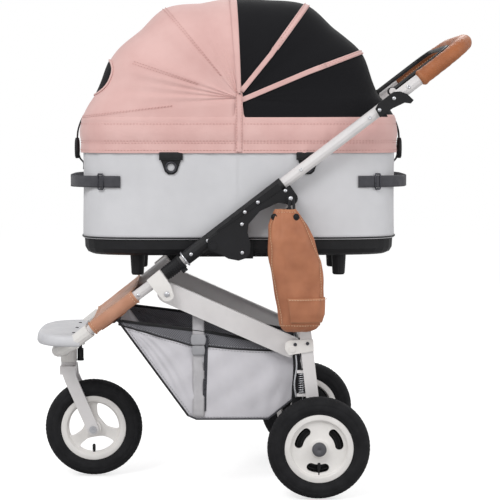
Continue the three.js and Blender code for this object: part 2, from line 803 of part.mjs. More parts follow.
function ringTab(x, z) {
  const outline = [[x - 26, z + 20], [x + 26, z + 20], [x + 13, z - 18], [x + 6, z - 24], [x - 6, z - 24], [x - 13, z - 18]];
  const y = -(cotHalfWidth + gap - 0.1);
  const plate = plateXZ(outline, y - 2.2, y);
  return cut(plate, rodY(x, z - 9, -190, -150, 8, 12));
}

// A webbing loop that lies on the wall at both ends and stands off it round the end of the cot.
function endHandle(end) {
  const count = 16;
  const edge = (thick) => Array.from({ length: count + 1 }, (_, i) => {
    const a = (-1 + (2 * i) / count) * THREE.MathUtils.degToRad(62);
    const off = 24 * Math.max(0, 1 - (Math.abs(a) / THREE.MathUtils.degToRad(40)) ** 2) + 0.6 + thick;
    const c = Math.cos(a);
    const s = Math.sin(a);
    return [
      cotX + end * (cotHalfLength + off) * c ** (2 / squareness),
      Math.sign(s) * (cotHalfWidth + Math.min(off, 0.6 + thick)) * Math.abs(s) ** (2 / squareness),
    ];
  });
  return prism([...edge(0), ...edge(2).reverse()], 648, 676);
}

function pouchRings(inset) {
  const rows = [
    [350, 62, 112, 8], [364, 52, 132, 17], [384, 47, 142, 21], [440, 36, 141, 23],
    [500, 28, 138, 24], [560, 24, 114, 20], [606, 40, 84, 12],
  ];
  return rows.map(([z, x0, x1, half]) => {
    const ring = oval((x1 - x0) / 2 - inset, half - inset, z, 3, 18, (x0 + x1) / 2);
    return ring.map((p) => at(p.x, p.y - (plateInner + plateThickness + 2.9) - half, p.z));
  });
}

function pouch() {
  const inner = pouchRings(2.5);
  inner[0].forEach((p) => { p.z += 4; });
  inner.at(-1).forEach((p) => { p.z += 3; });
  return cut(loft(pouchRings(0)), loft(inner));
}

function pouchStrap() {
  const [x, z] = legPivot;
  const y = -(plateInner + plateThickness + 0.4);
  const outline = [...arcXZ(legPivot, 11, -30, 200, 8), [x - 30, 588], [x - 16, 584], [x + 2, 600]];
  const plate = plateXZ(outline, y - 2, y);
  return cut(plate, rodY(x, z, -230, -190, pinRadius + gap));
}

// Assembly

const group = new THREE.Group();
group.name = 'pet_stroller';

function geometryOf(solid, mirrored) {
  const mesh = solid.getMesh();
  const raw = mesh.vertProperties;
  const positions = new Float32Array((raw.length / mesh.numProp) * 3);
  for (let i = 0; i < raw.length / mesh.numProp; i += 1) {
    positions[i * 3] = raw[i * mesh.numProp];
    positions[i * 3 + 1] = raw[i * mesh.numProp + 1] * (mirrored ? -1 : 1);
    positions[i * 3 + 2] = raw[i * mesh.numProp + 2];
  }
  const index = Array.from(mesh.triVerts);
  if (mirrored) {
    for (let i = 0; i < index.length; i += 3) {
      [index[i + 1], index[i + 2]] = [index[i + 2], index[i + 1]];
    }
  }
  const geometry = new THREE.BufferGeometry();
  geometry.setAttribute('position', new THREE.BufferAttribute(positions, 3));
  geometry.setIndex(index);
  geometry.computeVertexNormals();
  return geometry;
}

function add(name, solid, look, mirrored = false) {
  const [color, roughness, metalness] = colours[look];
  const material = new THREE.MeshStandardMaterial({ color, roughness, metalness });
  const mesh = new THREE.Mesh(geometryOf(solid, mirrored), material);
  mesh.name = name;
  group.add(mesh);
}

function addPair(name, solid, look) {
  add(`left_${name}`, solid, look);
  add(`right_${name}`, solid, look, true);
}

add('handle_tube', handleTube(), 'white');
add('handle_grip', handleGrip(), 'leather');
addPair('hinge_housing', hingeHousing(), 'black');
addPair('leg_pin', legPin(), 'steel');
add('cot_carrier', cotCarrier(), 'black');
addPair('release_lever', releaseLever(), 'black');
add('brake_bar', brakeBar(), 'black');

addPair('lower_tube', lowerTube(), 'white');
addPair('hinge_socket', hingeSocket(), 'black');
addPair('lock_sleeve', sleeve(), 'black');
addPair('link_plate', linkPlate(), 'plate');
add('calf_panel', calfPanel(), 'leather');
add('front_housing', frontHousing(), 'plate');
add('foot_plate', footPlate(), 'plate');
add('swivel_lock', swivelLock(), 'black');
add('fork', fork(), 'white');
add('front_axle', frontAxle(), 'steel');
add('front_rim', frontRim(), 'plate');
add('front_tyre', tyre(frontAxleX, wheelRadius, 0), 'rubber');

addPair('link_bar', linkBar(), 'white');
addPair('rear_leg', rearLeg(), 'white');
addPair('rear_bracket', rearBracket(), 'plate');
add('rear_axle', rearAxle(), 'steel');
addPair('rear_rim', rearRim(), 'plate');
addPair('rear_tyre', tyre(rearAxleX, wheelRadius, -rearWheelY), 'rubber');
addPair('rear_cap', capSolid(), 'cap');

add('basket', basket(), 'grey');
add('cot_tray', tray(), 'black');
add('cot_wall', ringWall(0, wall, trayTop + gap, rimZ - 0.5), 'grey');
add('cot_band', cotBand(), 'pink');
add('cot_mattress', mattress(), 'cushion');
add('front_hood', hood(frontHoodStations), 'pink');
add('rear_hood', hood(rearHoodStations), 'mesh');
add('front_edge_bow', bow(97, 211, eyeStack), 'steel');
add('rear_edge_bow', bow(89, 211, eyeStack - eyePitch), 'steel');
add('front_mid_bow', bow(129.7, 245, eyeStack - eyePitch * 2), 'steel');
add('rear_mid_bow', bow(53.9, 243, eyeStack - eyePitch * 3), 'steel');
add('rear_low_bow', bow(20.7, 276, eyeStack - eyePitch * 4), 'steel');
addPair('front_ring_tab', ringTab(-177, 702), 'black');
addPair('rear_ring_tab', ringTab(112, 702), 'black');
add('front_cot_handle', endHandle(-1), 'webbing');
add('rear_cot_handle', endHandle(1), 'webbing');
add('pouch', pouch(), 'tan');
add('pouch_strap', pouchStrap(), 'black');

export default group;
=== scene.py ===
import bpy
import bmesh
import math
import random
import numpy as np
from mathutils import Vector, Matrix


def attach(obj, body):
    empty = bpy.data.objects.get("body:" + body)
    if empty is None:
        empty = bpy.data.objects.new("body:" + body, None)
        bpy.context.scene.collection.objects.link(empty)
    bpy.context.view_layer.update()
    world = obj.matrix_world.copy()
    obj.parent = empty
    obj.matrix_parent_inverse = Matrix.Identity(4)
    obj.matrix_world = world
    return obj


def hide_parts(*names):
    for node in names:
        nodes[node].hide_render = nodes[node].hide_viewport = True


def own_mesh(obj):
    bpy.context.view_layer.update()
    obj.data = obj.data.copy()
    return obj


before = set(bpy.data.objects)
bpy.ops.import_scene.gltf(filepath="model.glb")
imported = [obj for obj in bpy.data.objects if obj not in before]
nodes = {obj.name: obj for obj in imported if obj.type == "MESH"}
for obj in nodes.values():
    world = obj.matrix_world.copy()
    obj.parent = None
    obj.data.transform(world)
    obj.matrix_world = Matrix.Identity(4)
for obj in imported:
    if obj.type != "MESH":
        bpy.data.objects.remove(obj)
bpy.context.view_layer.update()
scene = bpy.context.scene
random.seed(7)
print("stage: frame loaded")


# Camera, light and floor

view = {"place": (-0.0802, -3.5086, 0.7984), "pitch": 90 - 4.796, "turn": -1.193, "lens": 114.12}

lens = bpy.data.cameras.new("viewLens")
lens.sensor_width = 36
lens.lens = view["lens"]
camera = bpy.data.objects.new("viewCamera", lens)
camera.location = view["place"]
camera.rotation_euler = (math.radians(view["pitch"]), 0, math.radians(view["turn"]))
scene.collection.objects.link(camera)
scene.camera = camera
scene.view_settings.view_transform = "Standard"


def linear(code):
    # an sRGB hex value as the linear colour that a shader takes
    parts = [int(code[i:i + 2], 16) / 255 for i in (1, 3, 5)]
    return tuple(c / 12.92 if c <= 0.04045 else ((c + 0.055) / 1.055) ** 2.4 for c in parts) + (1,)


def addNode(tree, kind, settings=None, links=None):
    made = tree.nodes.new(kind)
    for key, value in (settings or {}).items():
        if isinstance(key, int) or key in made.inputs:
            made.inputs[key].default_value = value
        else:
            setattr(made, key, value)
    for key, source in (links or {}).items():
        tree.links.new(source, made.inputs[key])
    return made


def softLamp(name, place, aim, size, power):
    data = bpy.data.lights.new(name, "AREA")
    data.shape = "DISK"
    data.size = size
    data.energy = power
    lamp = bpy.data.objects.new(name, data)
    lamp.location = place
    lamp.rotation_euler = (Vector(aim) - Vector(place)).to_track_quat("-Z", "Y").to_euler()
    scene.collection.objects.link(lamp)


softLamp("keyLamp", (-1.6, -2.6, 2.9), (0, 0, 0.5), 1.6, 58)
softLamp("fillLamp", (2.4, -2.2, 1.6), (0, 0, 0.5), 2.0, 23)
softLamp("backLamp", (0.6, 2.6, 2.6), (0, 0, 0.7), 1.6, 26)

world = bpy.data.worlds.new("studioWorld")
scene.world = world
world.use_nodes = True
sky = world.node_tree
sky.nodes.clear()
rays = addNode(sky, "ShaderNodeLightPath")
seen = addNode(sky, "ShaderNodeMath", {"operation": "MAXIMUM"},
    {0: rays.outputs["Is Camera Ray"], 1: rays.outputs["Is Glossy Ray"]})
seenAll = addNode(sky, "ShaderNodeMath", {"operation": "MAXIMUM"},
    {0: seen.outputs[0], 1: rays.outputs["Is Transmission Ray"]})
level = addNode(sky, "ShaderNodeMapRange", {"To Min": 0.60, "To Max": 1.0}, {"Value": seenAll.outputs[0]})
glow = addNode(sky, "ShaderNodeBackground", {"Color": (1, 1, 1, 1)}, {"Strength": level.outputs["Result"]})
addNode(sky, "ShaderNodeOutputWorld", None, {"Surface": glow.outputs[0]})


def floorPaint():
    paint = bpy.data.materials.new("paleFloor")
    paint.use_nodes = True
    tree = paint.node_tree
    tree.nodes.clear()
    diffuse = addNode(tree, "ShaderNodeBsdfDiffuse", {"Color": (0.62, 0.62, 0.62, 1)})
    glowing = addNode(tree, "ShaderNodeEmission", {"Color": (1, 1, 1, 1), "Strength": 0.62})
    both = addNode(tree, "ShaderNodeAddShader", None, {0: diffuse.outputs[0], 1: glowing.outputs[0]})
    ray = addNode(tree, "ShaderNodeLightPath")
    shown = addNode(tree, "ShaderNodeMixShader", None, {0: ray.outputs["Is Camera Ray"], 1: diffuse.outputs[0],
        2: both.outputs[0]})
    addNode(tree, "ShaderNodeOutputMaterial", None, {"Surface": shown.outputs[0]})
    return paint


floorMesh = bpy.data.meshes.new("floor")
floorMesh.from_pydata([(-8, -8, -0.001), (8, -8, -0.001), (8, 8, -0.001), (-8, 8, -0.001)], [], [(0, 1, 2, 3)])
floor = bpy.data.objects.new("floor", floorMesh)
scene.collection.objects.link(floor)
floorMesh.materials.append(floorPaint())
print("stage: camera, lamps and floor")


# Finishes

def newFinish(name, code, rough, metal=0.0, **extra):
    made = bpy.data.materials.new(name)
    made.use_nodes = True
    tree = made.node_tree
    tree.nodes.clear()
    shader = addNode(tree, "ShaderNodeBsdfPrincipled", {"Base Color": linear(code), "Roughness": rough,
        "Metallic": metal, **extra})
    addNode(tree, "ShaderNodeOutputMaterial", None, {"Surface": shader.outputs[0]})
    place = addNode(tree, "ShaderNodeTexCoord")
    made.diffuse_color = linear(code)
    return made, tree, shader, place


def mottle(tree, shader, vector, code, other, scale, reach=(0.35, 0.65)):
    # slow drift between two close shades, as on any real batch of the stuff
    drift = addNode(tree, "ShaderNodeTexNoise", {"Scale": scale, "Detail": 3.0, "Roughness": 0.55},
        {"Vector": vector})
    blend = addNode(tree, "ShaderNodeValToRGB", None, {"Fac": drift.outputs["Fac"]})
    blend.color_ramp.elements[0].position = reach[0]
    blend.color_ramp.elements[0].color = linear(code)
    blend.color_ramp.elements[1].position = reach[1]
    blend.color_ramp.elements[1].color = linear(other)
    tree.links.new(blend.outputs["Color"], shader.inputs["Base Color"])
    return blend


def roughDrift(tree, shader, vector, low, high, scale):
    drift = addNode(tree, "ShaderNodeTexNoise", {"Scale": scale, "Detail": 2.0}, {"Vector": vector})
    level = addNode(tree, "ShaderNodeMapRange", {"From Min": 0.3, "From Max": 0.7, "To Min": low, "To Max": high},
        {"Value": drift.outputs["Fac"]})
    tree.links.new(level.outputs["Result"], shader.inputs["Roughness"])


def bumped(tree, shader, height, depth, strength=0.5, under=None):
    links = {"Height": height}
    if under:
        links["Normal"] = under.outputs["Normal"]
    bump = addNode(tree, "ShaderNodeBump", {"Strength": strength, "Distance": depth}, links)
    tree.links.new(bump.outputs["Normal"], shader.inputs["Normal"])
    return bump


# Powder-coated steel tube: baked on, so an even satin with a faint orange peel about 2 mm across
def powderCoat(name, code, other):
    made, tree, shader, place = newFinish(name, code, 0.38, **{"Coat Weight": 0.12, "Coat Roughness": 0.25})
    where = place.outputs["Object"]
    mottle(tree, shader, where, code, other, 14)
    peel = addNode(tree, "ShaderNodeTexNoise", {"Scale": 520.0, "Detail": 1.0}, {"Vector": where})
    bumped(tree, shader, peel.outputs["Fac"], 0.0002, 0.35)
    roughDrift(tree, shader, where, 0.33, 0.46, 30)
    return made


# Glass-filled nylon, moulded in a spark-eroded tool: a fine grain, drawn 1.2 mm wide so that it shows
def mouldedNylon(name, code, other, rough=0.5, grain=830.0, depth=0.00025, gloss=0.5):
    made, tree, shader, place = newFinish(name, code, rough, **{"Specular IOR Level": gloss})
    where = place.outputs["Object"]
    mottle(tree, shader, where, code, other, 22)
    spots = addNode(tree, "ShaderNodeTexNoise", {"Scale": grain, "Detail": 2.0}, {"Vector": where})
    bumped(tree, shader, spots.outputs["Fac"], depth, 0.45)
    roughDrift(tree, shader, where, rough - 0.06, rough + 0.08, 60)
    return made


# Zinc-plated steel: turned, so fine rings drawn 0.8 mm apart, and a cool dull shine
def platedSteel(name, code):
    made, tree, shader, place = newFinish(name, code, 0.3, 1.0)
    where = place.outputs["Object"]
    turned = addNode(tree, "ShaderNodeMapping", {"Scale": (1, 24, 1)}, {"Vector": where})
    marks = addNode(tree, "ShaderNodeTexNoise", {"Scale": 160.0, "Detail": 2.0},
        {"Vector": turned.outputs["Vector"]})
    bumped(tree, shader, marks.outputs["Fac"], 0.0001, 0.3)
    roughDrift(tree, shader, where, 0.24, 0.4, 90)
    return made


# Woven polyester on its own UVs, in metres: plain weave whose threads are drawn 2.6 mm apart so that they show
def wovenCloth(name, code, other, thread=0.0026, rough=0.88, depth=0.0006, sheen=0.25, strength=0.4):
    made, tree, shader, place = newFinish(name, code, rough,
        **{"Sheen Weight": sheen, "Sheen Roughness": 0.5, "Specular IOR Level": 0.25})
    flat = place.outputs["UV"]
    mottle(tree, shader, place.outputs["Object"], code, other, 11)
    period = math.pi * 2 / thread
    split = addNode(tree, "ShaderNodeSeparateXYZ", None, {"Vector": flat})
    across = addNode(tree, "ShaderNodeMath", {"operation": "MULTIPLY", 1: period}, {0: split.outputs["X"]})
    along = addNode(tree, "ShaderNodeMath", {"operation": "MULTIPLY", 1: period}, {0: split.outputs["Y"]})
    warp = addNode(tree, "ShaderNodeMath", {"operation": "SINE"}, {0: across.outputs[0]})
    weft = addNode(tree, "ShaderNodeMath", {"operation": "SINE"}, {0: along.outputs[0]})
    cross = addNode(tree, "ShaderNodeMath", {"operation": "MULTIPLY"}, {0: warp.outputs[0], 1: weft.outputs[0]})
    slub = addNode(tree, "ShaderNodeTexNoise", {"Scale": 75.0, "Detail": 4.0, "Roughness": 0.6}, {"Vector": flat})
    height = addNode(tree, "ShaderNodeMath", {"operation": "MULTIPLY_ADD", 1: 0.35},
        {0: cross.outputs[0], 2: slub.outputs["Fac"]})
    bumped(tree, shader, height.outputs[0], depth, strength)
    return made


# Knitted polyester net on its own UVs: round holes drawn 3.4 mm apart, filled with a darker colour that is painted
# shade of the inside seen through them
def knitNet(name, code, paintedHoleShade, pitch=0.0034):
    made, tree, shader, place = newFinish(name, code, 0.85, **{"Sheen Weight": 0.04, "Specular IOR Level": 0.12})
    split = addNode(tree, "ShaderNodeSeparateXYZ", None, {"Vector": place.outputs["UV"]})
    across = addNode(tree, "ShaderNodeMath", {"operation": "MULTIPLY", 1: math.pi * 2 / pitch},
        {0: split.outputs["X"]})
    along = addNode(tree, "ShaderNodeMath", {"operation": "MULTIPLY", 1: math.pi * 2 / pitch},
        {0: split.outputs["Y"]})
    one = addNode(tree, "ShaderNodeMath", {"operation": "COSINE"}, {0: across.outputs[0]})
    two = addNode(tree, "ShaderNodeMath", {"operation": "COSINE"}, {0: along.outputs[0]})
    product = addNode(tree, "ShaderNodeMath", {"operation": "MULTIPLY"}, {0: one.outputs[0], 1: two.outputs[0]})
    # mask of the holes, which take the darker colour as painted shade
    holeShadeMask = addNode(tree, "ShaderNodeMapRange", {"From Min": 0.15, "From Max": 0.6}, {"Value": product.outputs[0]})
    tone = addNode(tree, "ShaderNodeMix", {"data_type": "RGBA"}, {"Factor": holeShadeMask.outputs["Result"]})
    tone.inputs["A"].default_value = linear(code)
    tone.inputs["B"].default_value = linear(paintedHoleShade)
    tree.links.new(tone.outputs["Result"], shader.inputs["Base Color"])
    flip = addNode(tree, "ShaderNodeMath", {"operation": "SUBTRACT", 0: 1.0}, {1: holeShadeMask.outputs["Result"]})
    bumped(tree, shader, flip.outputs[0], 0.0005, 0.6)
    return made


# Coated leather on Object coordinates: pebbled grain drawn 2.4 mm across, creases darker, rubbed edges lighter
def coatedLeather(name, code, other, grain=420.0, rough=0.5):
    made, tree, shader, place = newFinish(name, code, rough, **{"Specular IOR Level": 0.45})
    where = place.outputs["Object"]
    tone = mottle(tree, shader, where, code, other, 16)
    cells = addNode(tree, "ShaderNodeTexVoronoi", {"Scale": grain, "feature": "DISTANCE_TO_EDGE"},
        {"Vector": where})
    pebble = addNode(tree, "ShaderNodeMapRange", {"From Max": 0.22}, {"Value": cells.outputs["Distance"]})
    folds = addNode(tree, "ShaderNodeTexNoise", {"Scale": 34.0, "Detail": 5.0, "Roughness": 0.6, "Distortion": 0.6},
        {"Vector": where})
    first = bumped(tree, shader, folds.outputs["Fac"], 0.002, 0.25)
    bumped(tree, shader, pebble.outputs["Result"], 0.00035, 0.5, first)
    edge = addNode(tree, "ShaderNodeNewGeometry")
    worn = addNode(tree, "ShaderNodeMapRange", {"From Min": 0.52, "From Max": 0.62, "To Max": 0.35},
        {"Value": edge.outputs["Pointiness"]})
    rub = addNode(tree, "ShaderNodeMix", {"data_type": "RGBA"},
        {"Factor": worn.outputs["Result"], "A": tone.outputs["Color"]})
    rub.inputs["B"].default_value = linear("#d8a67e")
    tree.links.new(rub.outputs["Result"], shader.inputs["Base Color"])
    roughDrift(tree, shader, where, rough - 0.08, rough + 0.12, 45)
    return made


# Foamed rubber tyre: matt and sooty
def foamRubber(name, code, other):
    made, tree, shader, place = newFinish(name, code, 0.8, **{"Specular IOR Level": 0.2})
    where = place.outputs["Object"]
    mottle(tree, shader, where, code, other, 40)
    pores = addNode(tree, "ShaderNodeTexNoise", {"Scale": 700.0, "Detail": 2.0}, {"Vector": where})
    bumped(tree, shader, pores.outputs["Fac"], 0.0003, 0.5)
    return made


# Brushed fleece: soft nap, drawn as 3 mm tufts
def brushedFleece(name, code, other):
    made, tree, shader, place = newFinish(name, code, 0.95,
        **{"Sheen Weight": 0.5, "Sheen Roughness": 0.6, "Specular IOR Level": 0.1})
    where = place.outputs["Object"]
    mottle(tree, shader, where, code, other, 24)
    nap = addNode(tree, "ShaderNodeTexNoise", {"Scale": 330.0, "Detail": 4.0, "Roughness": 0.7}, {"Vector": where})
    bumped(tree, shader, nap.outputs["Fac"], 0.0016, 0.5)
    return made


# Polyester webbing on its own UVs: ribs across the strap every 2.4 mm
def ribbedWebbing(name, code, other):
    made, tree, shader, place = newFinish(name, code, 0.78, **{"Sheen Weight": 0.2, "Specular IOR Level": 0.3})
    mottle(tree, shader, place.outputs["Object"], code, other, 60)
    split = addNode(tree, "ShaderNodeSeparateXYZ", None, {"Vector": place.outputs["UV"]})
    rib = addNode(tree, "ShaderNodeMath", {"operation": "MULTIPLY", 1: math.pi * 2 / 0.0024},
        {0: split.outputs["Y"]})
    wave = addNode(tree, "ShaderNodeMath", {"operation": "SINE"}, {0: rib.outputs[0]})
    bumped(tree, shader, wave.outputs[0], 0.0006, 0.5)
    return made


powderWhite = powderCoat("powderCoatedSteelWhite", "#dedbdb", "#d4d1d1")
nylonWhite = mouldedNylon("mouldedNylonWhite", "#e9e6e3", "#e0ddda", 0.46)
nylonGrey = mouldedNylon("mouldedNylonGrey", "#cfcfd2", "#c6c6ca", 0.5)
nylonBlack = mouldedNylon("mouldedNylonBlack", "#121214", "#18181b", 0.5, gloss=0.28)
gripNylon = mouldedNylon("mouldedNylonCharcoal", "#46464a", "#505055", 0.55)
clipNylon = mouldedNylon("mouldedNylonSmoke", "#98989c", "#a2a2a6", 0.5)
drumNylon = mouldedNylon("mouldedNylonDrum", "#0c0c0d", "#121213", 0.6, gloss=0.15)
zincSteel = platedSteel("zincPlatedSteel", "#c4c5c9")
darkSteel = platedSteel("blackenedSteel", "#4b4b50")
wallCloth = wovenCloth("oxfordClothGrey", "#d3d3d6", "#cccccf", sheen=0.15)
bagCloth = wovenCloth("oxfordClothBag", "#d3d1d6", "#cbc9ce", sheen=0.15)
pinkCloth = wovenCloth("cottonTwillPink", "#dfb8b3", "#d7ada8", 0.0022, sheen=0.3)
# the third colour of each net is painted shade in its holes, for the shaded inside seen through them
netBlack = knitNet("knitNetBlack", "#1b1b1e", "#09090a")
netGrey = knitNet("knitNetCharcoal", "#77777c", "#3a3a3e", 0.0042)
gripLeather = coatedLeather("coatedLeatherTan", "#a86338", "#96562f")
wrapLeather = coatedLeather("coatedLeatherPale", "#c48f74", "#b68064")
pouchLeather = coatedLeather("coatedLeatherSoft", "#b27453", "#9f6446", 380.0, 0.58)
tyreRubber = foamRubber("foamRubberBlack", "#18181a", "#202022")
fleece = brushedFleece("brushedFleece", "#ded9d2", "#cfc9c1")
webBlack = ribbedWebbing("polyesterWebbingBlack", "#161618", "#1e1e21")
webGrey = ribbedWebbing("polyesterWebbingGrey", "#4a4a4f", "#414146")
webPale = ribbedWebbing("polyesterWebbingPale", "#c4c2c5", "#bab8bb")
thread = wovenCloth("spunThreadTan", "#e3c3a4", "#d8b592", 0.001)
threadPink = wovenCloth("spunThreadPink", "#c9968f", "#bd8982", 0.001)
threadGrey = wovenCloth("spunThreadGrey", "#a9a9ae", "#9c9ca2", 0.001)

finishOf = {
    "handle_tube": powderWhite, "lower_tube": powderWhite, "fork": powderWhite, "link_bar": powderWhite,
    "rear_leg": powderWhite, "hinge_housing": nylonBlack, "cot_carrier": nylonBlack, "release_lever": nylonBlack,
    "brake_bar": nylonBlack, "hinge_socket": nylonBlack, "lock_sleeve": nylonBlack, "swivel_lock": nylonBlack,
    "cot_tray": nylonBlack, "front_ring_tab": nylonBlack, "rear_ring_tab": nylonBlack, "leg_pin": nylonBlack,
    "front_axle": zincSteel, "rear_axle": darkSteel, "bow": zincSteel, "link_plate": nylonWhite,
    "front_housing": nylonWhite, "foot_plate": nylonGrey, "front_rim": nylonWhite, "rear_rim": nylonWhite,
    "rear_bracket": nylonWhite, "rear_cap": gripNylon, "tyre": tyreRubber, "handle": webGrey,
}
for name, node in nodes.items():
    picked = [finish for key, finish in finishOf.items() if name.endswith(key)]
    if name in ("handle_tube", "handle_grip"):
        picked = [powderWhite]
    node.data.materials.clear()
    node.data.materials.append(picked[0] if picked else wallCloth)
print("stage: finishes")


# Meshes from rows of points

def meshObject(name, points, faces, finish, uvs=None, smooth=True):
    mesh = bpy.data.meshes.new(name)
    mesh.from_pydata([tuple(p) for p in points], [], faces)
    if uvs is not None:
        layer = mesh.uv_layers.new(name="cloth")
        for loop in mesh.loops:
            layer.data[loop.index].uv = uvs[loop.vertex_index]
    mesh.materials.append(finish)
    mesh.shade_smooth() if smooth else mesh.shade_flat()
    made = bpy.data.objects.new(name, mesh)
    scene.collection.objects.link(made)
    return made


# A grid of points as one sheet, with UVs in metres along the cloth
def gridSheet(name, rows, finish, closed=False, smooth=True):
    grid = np.array(rows, float)
    count, wide = grid.shape[:2]
    across = np.zeros((count, wide))
    across[:, 1:] = np.cumsum(np.linalg.norm(np.diff(grid, axis=1), axis=2), axis=1)
    across -= across[:, wide // 2:wide // 2 + 1]
    middle = np.zeros(count)
    middle[1:] = np.cumsum(np.linalg.norm(np.diff(grid, axis=0), axis=2).mean(axis=1))
    uvs = [(across[i, j], middle[i]) for i in range(count) for j in range(wide)]
    faces = []
    for i in range(count - 1):
        for j in range(wide if closed else wide - 1):
            k = (j + 1) % wide
            faces.append((i * wide + j, i * wide + k, (i + 1) * wide + k, (i + 1) * wide + j))
    return meshObject(name, grid.reshape(-1, 3), faces, finish, uvs, smooth)


def applied(piece):
    # the finished mesh, with its modifiers applied
    depsgraph = bpy.context.evaluated_depsgraph_get()
    done = bpy.data.meshes.new_from_object(piece.evaluated_get(depsgraph), preserve_all_data_layers=True,
        depsgraph=depsgraph)
    piece.modifiers.clear()
    piece.data = done
    return piece


def thicken(piece, depth, side=-1.0):
    wall = piece.modifiers.new("wall", "SOLIDIFY")
    wall.thickness = depth
    wall.offset = side
    wall.use_even_offset = False
    return applied(piece)


def outward(piece, centre):
    # turns the whole sheet so that it faces away from centre
    shape = bmesh.new()
    shape.from_mesh(piece.data)
    shape.normal_update()
    total = sum((f.calc_center_median() - Vector(centre)).dot(f.normal) * f.calc_area() for f in shape.faces)
    if total < 0:
        bmesh.ops.reverse_faces(shape, faces=shape.faces)
    shape.to_mesh(piece.data)
    shape.free()
    return piece


def smoothPath(points, count, closed=False):
    # Catmull-Rom through the points
    pts = [np.array(p, float) for p in points]
    out = []
    spans = len(pts) if closed else len(pts) - 1
    for i in range(count):
        x = i / (count if closed else count - 1) * spans
        k = min(int(x), spans - 1)
        f = x - k
        take = (lambda n: pts[n % len(pts)]) if closed else (lambda n: pts[max(0, min(len(pts) - 1, n))])
        a, b, c, d = take(k - 1), take(k), take(k + 1), take(k + 2)
        out.append(0.5 * ((2 * b) + (c - a) * f + (2 * a - 5 * b + 4 * c - d) * f * f + (3 * b - a - 3 * c + d)
            * f ** 3))
    return out


# A strap: a flat section carried along a path, up is the strap's width direction
def strap(name, path, width, depth, up, finish, closed=False):
    path = [Vector(p) for p in path]
    rows, uvs = [], []
    run = 0.0
    for i, p in enumerate(path):
        before = path[i - 1] if i or closed else p
        after = path[(i + 1) % len(path)] if i + 1 < len(path) or closed else p
        along = (after - before).normalized()
        wide = (up(i, p) if callable(up) else Vector(up)).normalized()
        wide = (wide - along * wide.dot(along)).normalized()
        thick = along.cross(wide).normalized()
        if i:
            run += (p - path[i - 1]).length
        section = [(-0.5, -0.5), (-0.46, 0.42), (-0.3, 0.5), (0.3, 0.5), (0.46, 0.42), (0.5, -0.5), (0.3, -0.5),
            (-0.3, -0.5)]
        rows.append([p + wide * a * width + thick * b * depth for a, b in section])
        uvs += [(a * width, run) for a, b in section]
    wide = len(rows[0])
    faces = []
    last = len(rows) if closed else len(rows) - 1
    for i in range(last):
        for j in range(wide):
            k = (j + 1) % wide
            n = (i + 1) % len(rows)
            faces.append((i * wide + j, i * wide + k, n * wide + k, n * wide + j))
    if not closed:
        faces += [tuple(range(wide))[::-1], tuple((len(rows) - 1) * wide + j for j in range(wide))]
    piece = meshObject(name, [v for r in rows for v in r], faces, finish, uvs)
    return mendNormals(piece)


def mendNormals(piece):
    shape = bmesh.new()
    shape.from_mesh(piece.data)
    bmesh.ops.recalc_face_normals(shape, faces=shape.faces)
    shape.to_mesh(piece.data)
    shape.free()
    return piece


# A round piece along a path; radius may be a number or one value for each point
def tubeAlong(name, path, radius, finish, sides=12, closed=False):
    path = [Vector(p) for p in path]
    radii = radius if isinstance(radius, (list, tuple, np.ndarray)) else [radius] * len(path)
    normal = None
    points, uvs = [], []
    run = 0.0
    for i, p in enumerate(path):
        before = path[i - 1] if i or closed else p
        after = path[(i + 1) % len(path)] if i + 1 < len(path) or closed else p
        along = (after - before).normalized()
        if normal is None:
            normal = along.orthogonal().normalized()
        normal = (normal - along * normal.dot(along)).normalized()
        other = along.cross(normal)
        if i:
            run += (p - path[i - 1]).length
        for j in range(sides):
            a = j / sides * math.tau
            points.append(p + (normal * math.cos(a) + other * math.sin(a)) * radii[i])
            uvs.append((a * radii[i], run))
    faces = []
    for i in range(len(path) if closed else len(path) - 1):
        for j in range(sides):
            k = (j + 1) % sides
            n = (i + 1) % len(path)
            faces.append((i * sides + j, i * sides + k, n * sides + k, n * sides + j))
    if not closed:
        faces += [tuple(range(sides))[::-1], tuple((len(path) - 1) * sides + j for j in range(sides))]
    return mendNormals(meshObject(name, points, faces, finish, uvs))


def joined(name, pieces):
    # several meshes as one object, materials kept
    depsgraph = bpy.context.evaluated_depsgraph_get()
    shape = bmesh.new()
    mats = []
    for p in pieces:
        part = bmesh.new()
        part.from_mesh(p.data)
        for f in part.faces:
            m = p.data.materials[f.material_index]
            if m not in mats:
                mats.append(m)
            f.material_index = mats.index(m)
        temp = bpy.data.meshes.new("temp")
        part.to_mesh(temp)
        part.free()
        shape.from_mesh(temp)
        bpy.data.meshes.remove(temp)
    mesh = bpy.data.meshes.new(name)
    shape.to_mesh(mesh)
    shape.free()
    for m in mats:
        mesh.materials.append(m)
    for p in pieces:
        bpy.data.objects.remove(p)
    made = bpy.data.objects.new(name, mesh)
    scene.collection.objects.link(made)
    return made


